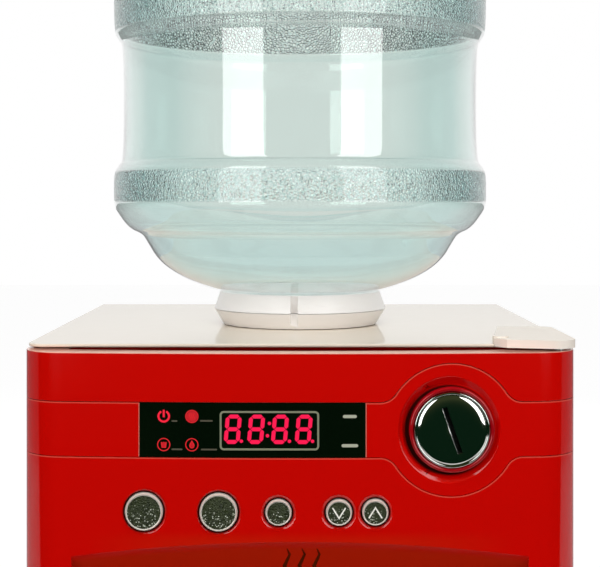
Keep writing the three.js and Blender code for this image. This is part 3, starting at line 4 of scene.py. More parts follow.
import bmesh
import bpy
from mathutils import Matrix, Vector

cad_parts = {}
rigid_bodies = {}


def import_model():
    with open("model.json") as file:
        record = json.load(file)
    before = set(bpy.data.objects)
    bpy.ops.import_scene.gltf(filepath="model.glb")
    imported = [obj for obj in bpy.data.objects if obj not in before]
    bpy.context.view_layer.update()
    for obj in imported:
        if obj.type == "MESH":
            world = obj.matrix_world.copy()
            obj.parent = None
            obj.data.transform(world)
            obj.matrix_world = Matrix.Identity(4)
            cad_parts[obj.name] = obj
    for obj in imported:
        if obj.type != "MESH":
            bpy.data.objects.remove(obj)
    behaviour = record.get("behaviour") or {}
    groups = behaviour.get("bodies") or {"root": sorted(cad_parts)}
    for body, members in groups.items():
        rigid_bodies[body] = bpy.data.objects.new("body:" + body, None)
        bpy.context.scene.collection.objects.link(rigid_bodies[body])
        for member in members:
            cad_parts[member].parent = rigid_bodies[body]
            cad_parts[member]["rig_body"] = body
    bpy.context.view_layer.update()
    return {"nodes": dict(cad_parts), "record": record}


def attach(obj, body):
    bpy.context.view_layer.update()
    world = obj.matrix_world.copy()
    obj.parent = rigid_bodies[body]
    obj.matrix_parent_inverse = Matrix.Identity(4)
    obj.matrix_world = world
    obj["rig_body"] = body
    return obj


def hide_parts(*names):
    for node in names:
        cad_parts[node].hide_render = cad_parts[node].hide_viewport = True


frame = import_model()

nodes = frame["nodes"]
mm = 0.001
scene = bpy.context.scene
slotOf = {row["node"]: row["material_slot"] for row in frame["record"]["subparts"]}


def lengths(**sizes):
    # Named lengths, or pairs of them, given in millimetres
    return {name: tuple(part * mm for part in size) if isinstance(size, tuple) else size * mm
            for name, size in sizes.items()}


# A node's socket; an expression on such values adds its Math nodes
class Value:
    def __init__(self, net, socket):
        self.net = net
        self.socket = socket

    __add__ = lambda self, other: self.net.maths("ADD", self, other)
    __radd__ = lambda self, other: self.net.maths("ADD", other, self)
    __sub__ = lambda self, other: self.net.maths("SUBTRACT", self, other)
    __rsub__ = lambda self, other: self.net.maths("SUBTRACT", other, self)
    __mul__ = lambda self, other: self.net.maths("MULTIPLY", self, other)
    __rmul__ = lambda self, other: self.net.maths("MULTIPLY", other, self)
    __truediv__ = lambda self, other: self.net.maths("DIVIDE", self, other)
    __rtruediv__ = lambda self, other: self.net.maths("DIVIDE", other, self)
    __pow__ = lambda self, other: self.net.maths("POWER", self, other)


# A net of nodes, in a material, the world or a geometry tree
class Net:
    def __init__(self, tree):
        self.tree = tree

    # Any node: its settings first, then the values or links of its sockets
    def node(self, kind, settings, inputs, out=0):
        made = self.tree.nodes.new(kind)
        for name, value in settings.items():
            setattr(made, name, value)
        pairs = inputs.items() if isinstance(inputs, dict) else enumerate(inputs)
        for name, value in pairs:
            self.feed(made.inputs[name], value)
        return Value(self, made.outputs[out])

    def feed(self, socket, value):
        if isinstance(value, Value):
            self.tree.links.new(value.socket, socket)
        else:
            socket.default_value = value

    def maths(self, kind, first, second=0.0):
        return self.node("ShaderNodeMath", {"operation": kind}, [first, second])

    # 0 below low, 1 above high, straight between
    def step(self, value, low, high):
        return self.node("ShaderNodeMapRange", {"clamp": True},
                         {"Value": value, "From Min": low, "From Max": high})

    # 1 below low, 0 above high, straight between
    def fall(self, value, low, high):
        return 1 - self.step(value, low, high)

    # How far a place lies from a middle, in two directions
    def away(self, first, middleFirst, second, middleSecond):
        return ((first - middleFirst) ** 2.0 + (second - middleSecond) ** 2.0) ** 0.5

    def mix(self, factor, first, second):
        return self.node("ShaderNodeMix", {"data_type": "RGBA"}, {0: factor, 6: first, 7: second}, 2)

    def split(self, vector):
        first = self.node("ShaderNodeSeparateXYZ", {}, [vector])
        return [first] + [Value(self, socket) for socket in first.socket.node.outputs[1:3]]

    def ray(self, kind):
        return self.node("ShaderNodeLightPath", {}, {}, kind)

    def join(self, x=0.0, y=0.0, z=0.0):
        return self.node("ShaderNodeCombineXYZ", {}, [x, y, z])


class Finish(Net):
    def __init__(self, name, colour, roughness, **fixed):
        self.material = bpy.data.materials.new(name)
        self.material.use_nodes = True
        super().__init__(self.material.node_tree)
        self.shader = self.tree.nodes["Principled BSDF"]
        self.output = self.tree.nodes["Material Output"]
        self.place = self.node("ShaderNodeTexCoord", {}, {}, "Object")
        self.set("Base Color", (*colour, 1))
        self.set("Roughness", roughness)
        for socket, value in fixed.items():
            self.set(socket.replace("_", " "), value)

    def set(self, name, value):
        self.feed(self.shader.inputs[name], value)

    # What is linked to one of the shader's sockets so far
    def current(self, name):
        return Value(self, self.shader.inputs[name].links[0].from_socket)

    def noise(self, scale, detail):
        return self.node("ShaderNodeTexNoise", {}, {"Vector": self.place, "Scale": scale, "Detail": detail})

    def cells(self, feature, scale):
        return self.node("ShaderNodeTexVoronoi", {"feature": feature}, {"Vector": self.place, "Scale": scale})

    def bump(self, height, strength, distance, normal=None):
        inputs = {"Height": height, "Strength": strength, "Distance": distance}
        if normal:
            inputs["Normal"] = normal
        return self.node("ShaderNodeBump", {}, inputs)


# A geometry tree with named inputs, put on an object and turned into its plain mesh
class Grower(Net):
    def __init__(self, name, inputs):
        tree = bpy.data.node_groups.new(name, "GeometryNodeTree")
        super().__init__(tree)
        for way in ("INPUT", "OUTPUT"):
            tree.interface.new_socket("Geometry", in_out=way, socket_type="NodeSocketGeometry")
        kinds = {float: "NodeSocketFloat", int: "NodeSocketInt", bpy.types.Material: "NodeSocketMaterial"}
        self.keys = {}
        self.values = inputs
        for label, value in inputs.items():
            made = tree.interface.new_socket(label, in_out="INPUT", socket_type=kinds[type(value)])
            self.keys[label] = made.identifier
        self.entry = tree.nodes.new("NodeGroupInput")
        self.exit = tree.nodes.new("NodeGroupOutput")

    def given(self, label):
        return Value(self, self.entry.outputs[label])

    def finish(self, geometry):
        whole = self.node("GeometryNodeRealizeInstances", {}, [geometry])
        dressed = self.node("GeometryNodeSetMaterial", {}, {0: whole, "Material": self.given("Material")})
        self.feed(self.exit.inputs[0], dressed)

    def grow(self, piece):
        modifier = piece.modifiers.new("grown", "NODES")
        modifier.node_group = self.tree
        for label, value in self.values.items():
            modifier[self.keys[label]] = value
        return settled(piece)


# What every moulded or painted surface has: large faint patches, and scuffs that change its gloss
scuffs = {"patchDetail": 2, "scuffScale": 90, "scuffDetail": 4, "scuffLow": 0.85, "scuffReach": 0.3}


def mouldedFinish(name, colour, roughness, shadeShare, grainScale, grainStrength, grainDepth, fixed={},
                  patchScale=14):
    finish = Finish(name, colour, roughness, **fixed)
    dark = (*(part * shadeShare for part in colour), 1)
    finish.set("Base Color", finish.mix(finish.noise(patchScale, scuffs["patchDetail"]), dark, (*colour, 1)))
    scuff = finish.noise(scuffs["scuffScale"], scuffs["scuffDetail"])
    finish.set("Roughness", roughness * scuffs["scuffLow"] + scuff * (roughness * scuffs["scuffReach"]))
    finish.set("Normal", finish.bump(finish.noise(grainScale, 2), grainStrength, grainDepth * mm))
    return finish


print("making the finishes")
# Colour, roughness and the share of colour in the darker patches; scale, strength and depth in millimetres of the
# grain; what else the shader gets, and the patches' own scale
looks = {
    "red_plastic": ((0.6, 0.001, 0.0), 0.3, 0.95, 900, 0.06, 0.1,
                    {"Coat_Weight": 1.0, "Coat_Roughness": 0.09, "Coat_IOR": 1.6, "Specular_IOR_Level": 0.0}),
    "cream_panel": ((0.82, 0.715, 0.59), 0.36, 0.97, 1400, 0.04, 0.1, {"Coat_Weight": 0.7, "Coat_Roughness": 0.04}),
    "cream_plastic": ((0.88, 0.8, 0.71), 0.4, 0.97, 1000, 0.14, 0.2),
    "white_plastic": ((0.86, 0.83, 0.81), 0.3, 0.97, 800, 0.1, 0.2),
    "black_gloss": ((0.0015, 0.005, 0.0015), 0.07, 0.7, 200, 0.02, 0.1),
    "dark_plastic": ((0.05, 0.05, 0.055), 0.42, 0.8, 1100, 0.2, 0.2),
    "chrome": ((0.82, 0.82, 0.8), 0.06, 0.96, 300, 0.02, 0.1, {"Metallic": 1.0}),
    "steel": ((0.55, 0.55, 0.54), 0.3, 0.85, 600, 0.1, 0.1, {"Metallic": 1.0}),
    "rubber_foot": ((0.02, 0.02, 0.02), 0.75, 0.8, 900, 0.4, 0.3),
    "clear_canister": ((0.86, 0.88, 0.88), 0.12, 0.93, 300, 0.05, 0.2, {"Transmission_Weight": 0.92, "IOR": 1.3}),
    "blue_cap": ((0.035, 0.16, 0.48), 0.35, 0.93, 900, 0.15, 0.2),
    "circuit_board": ((0.015, 0.14, 0.06), 0.35, 0.6, 500, 0.1, 0.1, {}, 160),
}
finishes = {name: mouldedFinish(name, *look) for name, look in looks.items()}


# Painted shade under the door's hood and in the finger pocket, a painted reflection that makes the door's top edge
# light, and the engraved steam mark painted darker as the shade in its grooves
hood = {
    **lengths(frontY=-184, round=3400, back=(0.3, 4.5), lowZ=(240, 250), topZ=386, sideX=(138, 140),
              apexZ=384.2, markDeep=(0.4, 1.2), markX=(17, 18), fadeZ=6, fadeX=(60, 130), endX=(108, 128),
              pocketLow=(484, 486), pocketHigh=(494, 496.6), pocketY=(-176, -172), pocketX=(143, 144),
              rimZ=(496.5, 496.9)),
    "drop": 1.25,
    "fadeShare": 0.5,
    "endShare": 0.5,
    "gloss": 0.08,
    "shade": (0.52, 0.015, 0.002, 1),
    "dark": (0.14, 0.02, 0.002, 1),
    "pocket": (0.03, 0.003, 0.002, 1),
    "rim": (0.78, 0.36, 0.27, 1),
}


def shadeHood(finish):
    x, y, z = finish.split(finish.place)
    side = finish.maths("ABSOLUTE", x)
    behind = y - hood["frontY"] - x * x / hood["round"]
    under = finish.step(behind, *hood["back"]) * finish.step(z, *hood["lowZ"])
    under = under * finish.fall(z, hood["topZ"], hood["topZ"] + mm) * finish.fall(side, *hood["sideX"])
    # Painted shade for the grooves of the engraved steam mark
    engraved = z - hood["apexZ"] + (y - hood["frontY"]) * hood["drop"]
    engraved = finish.step(engraved, *hood["markDeep"]) * finish.fall(side, *hood["markX"]) * under
    above = finish.fall(z, hood["apexZ"], hood["apexZ"] + hood["fadeZ"])
    above = above * finish.fall(side, *hood["fadeX"]) * hood["fadeShare"]
    pocket = finish.step(z, *hood["pocketLow"]) * finish.fall(z, *hood["pocketHigh"])
    pocket = pocket * finish.step(y, *hood["pocketY"]) * finish.fall(side, *hood["pocketX"])
    # Painted shade under the hood, with a softer half shade below its apex in the middle; darker painted shade in
    # the finger pocket
    shaded = finish.mix(finish.maths("MAXIMUM", under, above), finish.current("Base Color"), hood["shade"])
    shaded = finish.mix(pocket, shaded, hood["pocket"])
    # Painted reflection: the door's top face is made light
    shaded = finish.mix(finish.step(z, *hood["rimZ"]), shaded, hood["rim"])
    finish.set("Base Color", finish.mix(engraved, shaded, hood["dark"]))
    ends = finish.step(side, *hood["endX"]) * hood["endShare"]
    finish.set("Coat Weight", (1 - under * (1 - hood["gloss"] - ends)) * (1 - pocket))


# Painted shade in the narrow gaps round the buttons and left of the coin collar: middle, low edge and high edge of
# each
darkRings = {
    "rings": [(-93.9, 401.8, 12.3, 13.4), (-48.9, 401.8, 12.3, 13.4), (-12.9, 401.8, 8.7, 9.7),
              (23.4, 401.8, 8.7, 9.7), (45.2, 401.8, 8.7, 9.7), (90.2, 450.4, 26.7, 27.9)],
    "backY": (-160 * mm, -155 * mm),
}


def shadeRings(finish):
    x, y, z = finish.split(finish.place)
    dark = 0.0 * x
    for middleX, middleZ, low, high in darkRings["rings"]:
        away = finish.away(x, middleX * mm, z, middleZ * mm)
        dark = finish.maths("MAXIMUM", dark, finish.fall(away, low * mm, high * mm))
    dark = dark * finish.fall(y, *darkRings["backY"])
    finish.set("Base Color", finish.mix(dark, finish.current("Base Color"), hood["pocket"]))
    finish.set("Coat Weight", finish.current("Coat Weight") * (1 - dark))


# A painted highlight makes the edge just under each of the belt's seams a little lighter; the seam has a bulge round
# the coin entry
seam = {
    **lengths(x=91.3, z=451, half=16.5, bulge=40, fillet=11.5, filletX=43.22, filletZ=28, meetX=33.57, sharp=0.01,
              turnover=0.1, wearFrom=(0.2, 0.45), wearTo=(0.8, 1.1), backY=(-150, -145), reachZ=(41, 42), stray=0.5),
    "light": (0.78, 0.15, 0.1, 1),
    "share": 0.5,
}


def paintSeamHighlights(finish):
    x, y, z = finish.split(finish.place)
    across = finish.maths("ABSOLUTE", x - seam["x"])
    up = z - seam["z"]
    fold = finish.maths("ABSOLUTE", up)
    bulge = finish.away(across, 0.0, fold, 0.0) - seam["bulge"]
    corner = finish.away(across, seam["filletX"], fold, seam["filletZ"])
    inCorner = finish.step(across, seam["meetX"] - seam["sharp"], seam["meetX"])
    onLine = finish.step(across, seam["filletX"] - seam["sharp"], seam["filletX"])
    near = (seam["fillet"] - corner) * inCorner + bulge * (1 - inCorner)
    outside = (fold - seam["half"]) * onLine + near * (1 - onLine)
    below = outside * (1 - finish.step(up, -seam["turnover"], seam["turnover"]) * 2.0)
    highlit = finish.step(below, *seam["wearFrom"]) * finish.fall(below, *seam["wearTo"])
    highlit = highlit * finish.fall(y, *seam["backY"]) * finish.fall(fold, *seam["reachZ"])
    stray = inCorner * (1 - onLine) * finish.step(fold, seam["filletZ"], seam["filletZ"] + seam["stray"])
    share = highlit * (1 - stray) * seam["share"]
    # Painted highlight along the seams
    finish.set("Base Color", finish.mix(share, finish.current("Base Color"), seam["light"]))


for shading in (shadeHood, shadeRings, paintSeamHighlights):
    shading(finishes["red_plastic"])


def meshObject(name, verts, faces, smooth=True):
    mesh = bpy.data.meshes.new(name)
    mesh.from_pydata([tuple(v) for v in verts], [], faces)
    mesh.update()
    made = bpy.data.objects.new(name, mesh)
    scene.collection.objects.link(made)
    for face in mesh.polygons:
        face.use_smooth = smooth
    return made


def faceOutward(piece, joinReach=0.0):
    # Turns all faces outwards, after joining places closer together than the reach
    shape = bmesh.new()
    shape.from_mesh(piece.data)
    if joinReach:
        bmesh.ops.remove_doubles(shape, verts=shape.verts, dist=joinReach)
    bmesh.ops.recalc_face_normals(shape, faces=shape.faces)
    shape.to_mesh(piece.data)
    shape.free()
    return piece


def turned(name, profile, middle, rounds):
    # Turns (radius, height) pairs about a line towards -Y, as a closed shape
    rings, verts, faces = [], [], []
    for radius, height in profile:
        count = 1 if radius < 1e-7 else rounds
        rings.append([len(verts) + step for step in range(count)])
        for step in range(count):
            angle = 2 * math.pi * step / rounds
            around = Vector((radius * math.cos(angle), -height, radius * math.sin(angle)))
            verts.append(around + Vector(middle))
    for low, high in zip(rings, rings[1:] + rings[:1]):
        for step in range(rounds if max(len(low), len(high)) > 1 else 0):
            after = (step + 1) % rounds
            if len(low) == 1:
                faces.append((low[0], high[after], high[step]))
            elif len(high) == 1:
                faces.append((low[step], low[after], high[0]))
            else:
                faces.append((low[step], low[after], high[after], high[step]))
    return faceOutward(meshObject(name, verts, faces), 1e-7)


def dress(piece, body, slot, *replaced, finish=None):
    piece.data.materials.clear()
    piece.data.materials.append((finish or finishes[slot]).material)
    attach(piece, body)
    if replaced:
        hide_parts(*replaced)
    return piece


def settled(piece):
    # The modifiers' result as a plain mesh, with the modifiers gone
    graph = bpy.context.evaluated_depsgraph_get()
    mesh = bpy.data.meshes.new_from_object(piece.evaluated_get(graph))
    piece.modifiers.clear()
    old = piece.data
    piece.data = mesh
    bpy.data.meshes.remove(old)
    mesh.name = piece.name
    return piece


# The door's bowed front: one wide round and one small round at each corner
bow = {
    **lengths(middleY=1516, radius=1700, cornerX=142, cornerY=-149.96, cornerRadius=28, cornerStart=144.4,
              behind=1.7, before=0.3),
    "turn": 0.3,
    "facetWeight": 3,
    "pieces": ("door_top_fascia", "door_belt", "door_lower_fascia", "display_window"),
}


def bowY(x):
    return bow["middleY"] - math.sqrt(bow["radius"] ** 2 - x ** 2)


def bowOutward(x, y):
    # The true outward direction at a place near the front, and how far off the front it is
    if abs(x) < bow["cornerStart"]:
        away = Vector((x, y - bow["middleY"], 0))
        return away.normalized(), away.length - bow["radius"]
    away = Vector((x - math.copysign(bow["cornerX"], x), y - bow["cornerY"], 0))
    return away.normalized(), away.length - bow["cornerRadius"]


def bowed(piece):
    # Shades the flat facets of the front as the round they stand for
    mesh = piece.data
    normals = [Vector(corner.vector) for corner in mesh.corner_normals]
    for face in mesh.polygons:
        for index in face.loop_indices:
            place = mesh.vertices[mesh.loops[index].vertex_index].co
            away, off = bowOutward(place.x, place.y)
            near = min(normals[index].angle(away, 9), face.normal.angle(away, 9) * bow["facetWeight"])
            if -bow["behind"] < off < bow["before"] and near < bow["turn"]:
                normals[index] = away
    mesh.normals_split_custom_set(normals)


def carved(piece, cutter, operation="DIFFERENCE"):
    change = piece.modifiers.new("carved", "BOOLEAN")
    change.operation = operation
    change.solver = "EXACT"
    change.object = cutter
    settled(piece)
    bpy.data.objects.remove(cutter)
    return piece


def cleaned(piece):
    # Joins places that coincide and dissolves edges between faces in one plane
    shape = bmesh.new()
    shape.from_mesh(piece.data)
    bmesh.ops.remove_doubles(shape, verts=shape.verts, dist=0.002 * mm)
    bmesh.ops.dissolve_limit(shape, angle_limit=math.radians(0.3), verts=shape.verts, edges=shape.edges)
    shape.to_mesh(piece.data)
    shape.free()


def broken(piece, width, angle, sharp):
    # Breaks the edges steeper than the angle, and keeps the ones steeper than the sharp angle crisp
    piece.data.shade_smooth()
    edge = piece.modifiers.new("edges", "BEVEL")
    edge.width = width
    edge.segments = 2
    edge.limit_method = "ANGLE"
    edge.angle_limit = math.radians(angle)
    settled(piece)
    piece.data.set_sharp_from_angle(angle=math.radians(sharp))


def softened(name, width):
    # A copy of a solid with its edges broken and its curves shaded smooth
    source = nodes[name]
    piece = bpy.data.objects.new(name + "_dressed", source.data.copy())
    scene.collection.objects.link(piece)
    cleaned(piece)
    for cutter in roundCutters.get(name, []):
        carved(piece, turned("cutter", *cutter, holeRounds))
    if name == "door_top_fascia":
        carved(piece, gripLip(), "UNION")
    cleaned(piece)
    broken(piece, width, 28, 34)
    weights = piece.modifiers.new("weights", "WEIGHTED_NORMAL")
    weights.keep_sharp = True
    settled(piece)
    if name in bow["pieces"]:
        bowed(piece)
    return dress(piece, source["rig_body"], slotOf[name], name)


# The push buttons across the door
large, small = lengths(radius=11.45, dimple=14.15), lengths(radius=7.9, dimple=11.35)
buttons = {
    "button_select_one": {"x": -93.9 * mm, **large},
    "button_select_two": {"x": -48.9 * mm, **large},
    "button_set": {"x": -12.9 * mm, **small},
    "button_down": {"x": 23.4 * mm, **small},
    "button_up": {"x": 45.2 * mm, **small},
}
buttonSizes = {
    **lengths(z=401.7, gap=0.45, reach=6, depth=8, rise=1.6, rim=0.75, faceDrop=0.3, arrowReach=3.9,
              arrowHeight=6.2, arrowThick=0.5, stroke=0.85),
    "rimShare": 0.05,
    "dimpleShare": 0.4,
    "dimpleSteps": 12,
    "rounds": 72,
}
# The coin entry on the belt: a dish, a collar with its outline, and a dome with a slanted slot
coinSizes = {
    **lengths(x=91.3, z=451, dish=32.5, dishDepth=3.3, dishFloor=(23.5, 34), floorThick=1.4, cutReach=8,
              boardRound=34.3, dome=22.8, lens=21.2, lensRise=3.2, lipRise=1.7, lipEdge=0.25, depth=12,
              slotWidth=3, slotLength=29, slotReach=20),
    "slope": 0.66,
    "collarLine": [(23.05, -4.5), (23.05, 0.7), (23.3, 1.35), (23.8, 1.9), (24.45, 2.15), (25.1, 1.95),
                   (25.6, 1.35), (25.8, 0.6), (25.8, -4.5)],
    "lensSteps": 28,
    "lensSpread": 0.45,
    "lensEdge": 12,
    "lipSteps": 8,
    "lipShare": 0.55,
    "slotTilt": 19,
    "rounds": 128,
}


def dimpleLine(spec):
    hole = spec["radius"] + buttonSizes["gap"]
    line = [(0, buttonSizes["reach"]), (spec["dimple"], buttonSizes["reach"]), (spec["dimple"], 0)]
    deep = (spec["dimple"] - hole) * buttonSizes["dimpleShare"]
    for step in range(1, buttonSizes["dimpleSteps"] + 1):
        share = step / buttonSizes["dimpleSteps"]
        inward = spec["dimple"] + (hole - spec["dimple"]) * share
        line.append((inward, -deep * share * share * (3 - 2 * share)))
    return line + [(hole, -buttonSizes["reach"] * 2), (0, -buttonSizes["reach"] * 2)]


def dishLine():
    # A straight slope between two short rounds, then a flat floor
    dish, deep, reach = coinSizes["dish"], coinSizes["dishDepth"], coinSizes["cutReach"]
    line = [(0, reach), (dish, reach), (dish, 0), (dish - 0.4 * mm, -0.12 * mm), (dish - 0.8 * mm, -0.38 * mm)]
    inner = dish - 0.8 * mm - (deep - 0.6 * mm) / coinSizes["slope"]
    line += [(inner, -deep + 0.22 * mm), (inner - 0.4 * mm, -deep + 0.05 * mm), (inner - 0.9 * mm, -deep)]
    return line + [(0, -deep)]


def boardLine():
    # Clears the display board's corner behind the dish
    reach, away = coinSizes["cutReach"], coinSizes["boardRound"]
    return [(0, reach), (away, reach), (away, -reach), (0, -reach)]


def onFront(x, z, lift=0.0):
    return Vector((x, bowY(x) - lift, z))


# The finger pocket behind the door's top edge: its front wall stands a little further back than the solid's
grip = {
    **lengths(half=157, endX=142, backY=-156, depthY=19, sunk=0.4, shownDepth=12, lowZ=484.8, highZ=497),
    "steps": 48,
}


def gripArc(x, depth):
    radius = (grip["half"] ** 2 + depth ** 2) / (2 * depth)
    return grip["backY"] - depth + radius - math.sqrt(radius ** 2 - x ** 2)


def gripLip():
    outline = []
    for step in range(grip["steps"] + 1):
        x = grip["endX"] * (2 * step / grip["steps"] - 1)
        outline.append((x, gripArc(x, grip["depthY"]) - grip["sunk"]))
    for step in range(grip["steps"] + 1):
        x = grip["endX"] * (1 - 2 * step / grip["steps"])
        outline.append((x, gripArc(x, grip["shownDepth"])))
    count = len(outline)
    verts = [(x, y, z) for z in (grip["lowZ"], grip["highZ"]) for x, y in outline]
    faces = [tuple(range(count - 1, -1, -1)), tuple(range(count, 2 * count))]
    faces += [(index, (index + 1) % count, count + (index + 1) % count, count + index) for index in range(count)]
    return meshObject("grip_lip", verts, faces)


# Outline and middle of each round hole that the looks need
holeRounds = 96
coinMiddle = onFront(coinSizes["x"], coinSizes["z"])
roundCutters = {
    "door_lower_fascia": [(dimpleLine(spec), onFront(spec["x"], buttonSizes["z"])) for spec in buttons.values()],
    "door_belt": [(dishLine(), coinMiddle)],
    "panel_board": [(boardLine(), coinMiddle)],
}


print("dressing the solids")
# How wide the solids' edges are broken, in millimetres
edgeWidths = {"red_plastic": 1.0, "cream_panel": 0.6, "cream_plastic": 0.7, "white_plastic": 0.5, "black_gloss": 0.3,
              "dark_plastic": 0.4, "chrome": 0.4, "steel": 0.3, "rubber_foot": 0.8, "clear_canister": 0.4,
              "blue_cap": 0.5, "circuit_board": 0.2}
ownPieces = {"water_bottle", "coin_entry", *buttons}
for name in sorted(set(nodes) - ownPieces):
    softened(name, edgeWidths[slotOf[name]] * mm)

print("building the coin entry")


def lensLine():
    # Flat in the middle and steep at the lip, then a rounded rim
    lens, rise, lip = coinSizes["lens"], coinSizes["lensRise"], coinSizes["lipRise"]
    line = [(0, rise)]
    for step in range(1, coinSizes["lensSteps"] + 1):
        share = (step / coinSizes["lensSteps"]) ** coinSizes["lensSpread"]
        line.append((lens * share, lip + (rise - lip) * (1 - share ** coinSizes["lensEdge"])))
    rim = coinSizes["dome"] - lens
    for step in range(1, coinSizes["lipSteps"]):
        turn = math.pi * step / coinSizes["lipSteps"]
        line.append((lens + rim / 2 * (1 - math.cos(turn)), lip + rim * coinSizes["lipShare"] * math.sin(turn)))
    return line + [(coinSizes["dome"], -coinSizes["depth"]), (0, -coinSizes["depth"])]


def slotCutter():
    half, reach = coinSizes["slotWidth"] / 2, coinSizes["slotLength"] / 2
    corners = [(-half, -reach), (half, -reach), (half, reach), (-half, reach)]
    tilt = math.radians(coinSizes["slotTilt"])
    verts = []
    for depth in (-coinSizes["slotReach"], coinSizes["slotReach"]):
        for across, up in corners:
            verts.append(coinMiddle + Vector((across * math.cos(tilt) - up * math.sin(tilt), depth,
                                              up * math.cos(tilt) + across * math.sin(tilt))))
    faces = [(0, 1, 2, 3), (7, 6, 5, 4), (0, 4, 5, 1), (1, 5, 6, 2), (2, 6, 7, 3), (3, 7, 4, 0)]
    return meshObject("slot_cutter", verts, faces, smooth=False)


def floorLine():
    # A ring that closes the wall where the dish runs out behind it
    low, high = coinSizes["dishFloor"]
    rise = -coinSizes["dishDepth"] - 0.02 * mm
    return [(low, rise), (high, rise), (high, rise - coinSizes["floorThick"]), (low, rise - coinSizes["floorThick"])]


entry = carved(turned("coin_entry_dome", lensLine(), coinMiddle, coinSizes["rounds"]), slotCutter())
broken(entry, coinSizes["lipEdge"], 50, 40)
dress(entry, "door", "chrome", "coin_entry")
collarLine = [(radius * mm, rise * mm) for radius, rise in coinSizes["collarLine"]]
collar = turned("coin_collar", collarLine, coinMiddle, coinSizes["rounds"])
collar.data.set_sharp_from_angle(angle=math.radians(50))
# Painted shade: the collar is a darker copy of the door's red
collarFinish = mouldedFinish("collar_red", (0.34, 0.002, 0.006), *looks["red_plastic"][1:])
dress(collar, "door", "red_plastic", finish=collarFinish)
dress(turned("coin_dish_floor", floorLine(), coinMiddle, holeRounds), "door", "red_plastic")

print("building the buttons")


def dense(line):
    # Long runs get a place every 5 mm, so that they follow the bowed front
    places = [line[0]]
    for low, high in zip(line, line[1:]):
        count = max(1, math.ceil(math.dist(low, high) / (5 * mm)))
        places += [tuple(a + (b - a) * step / count for a, b in zip(low, high)) for step in range(1, count)]
        places.append(high)
    return places


def ribbon(name, lines, width, lift, thick):
    # Flat bands along lines of (x, z) places on the door's front; a line that ends where it began is a ring
    verts, faces = [], []
    for line in lines:
        line = dense(line)
        ring = line[0] == line[-1]
        places = line[:-1] if ring else line
        count, start = len(places), len(verts)
        for index, (x, z) in enumerate(places):
            before = places[index - 1] if ring or index else places[0]
            after = places[(index + 1) % count] if ring or index < count - 1 else places[-1]
            run = Vector((after[0] - before[0], after[1] - before[1])).normalized()
            into = Vector((x - before[0], z - before[1]))
            turn = into.normalized().dot(run) if into.length > 1e-9 else 1
            half = width / 2 / max(turn, 0.5)
            for side, depth in ((1, lift), (-1, lift), (-1, lift - thick), (1, lift - thick)):
                verts.append(onFront(x - run.y * half * side, z + run.x * half * side, depth))
        for index in range(count if ring else count - 1):
            low, high = start + index * 4, start + (index + 1) % count * 4
            for corner in range(4):
                after = (corner + 1) % 4
                faces.append((low + corner, low + after, high + after, high + corner))
        if not ring:
            last = start + (count - 1) * 4
            faces += [(start + 3, start + 2, start + 1, start), (last, last + 1, last + 2, last + 3)]
    return faceOutward(meshObject(name, verts, faces, smooth=False))


def arc(x, z, radius, low, high, steps=24):
    turns = [math.radians(low + (high - low) * step / steps) for step in range(steps + 1)]
    places = [(x + radius * math.cos(turn), z + radius * math.sin(turn)) for turn in turns]
    if high - low >= 360:
        places[-1] = places[0]
    return places


# The bright colour is painted glints on the pebbled faces
pebbles = {
    "scale": 1150,
    "lowShare": 0.42,
    "chance": (0.95, 1.1),
    "size": (0.3, 0.55),
    "dark": (0.004, 0.008, 0.002, 1),
    "middle": (0.05, 0.065, 0.02, 1),
    "bright": (0.62, 0.66, 0.55, 1),
}


def pebbledFinish():
    # Dark metal with small round grains; a few carry painted glints, most of those low on the face
    finish = Finish("pebbled_metal", (0.02, 0.03, 0.008), 0.25, Metallic=0.4)
    cells = finish.cells("F1", pebbles["scale"])
    chance = finish.split(Value(finish, cells.socket.node.outputs["Color"]))[0]
    height = finish.split(finish.place)[2] - buttonSizes["z"]
    chance = chance + finish.fall(height, -8 * mm, 5 * mm) * pebbles["lowShare"]
    # Painted glints on a few grains
    lit = finish.step(chance, *pebbles["chance"]) * finish.fall(cells, *pebbles["size"])
    tone = finish.mix(finish.noise(500, 2), pebbles["dark"], pebbles["middle"])
    finish.set("Base Color", finish.mix(lit, tone, pebbles["bright"]))
    finish.set("Normal", finish.bump(1 - cells, 0.8, 0.6 * mm))
    return finish


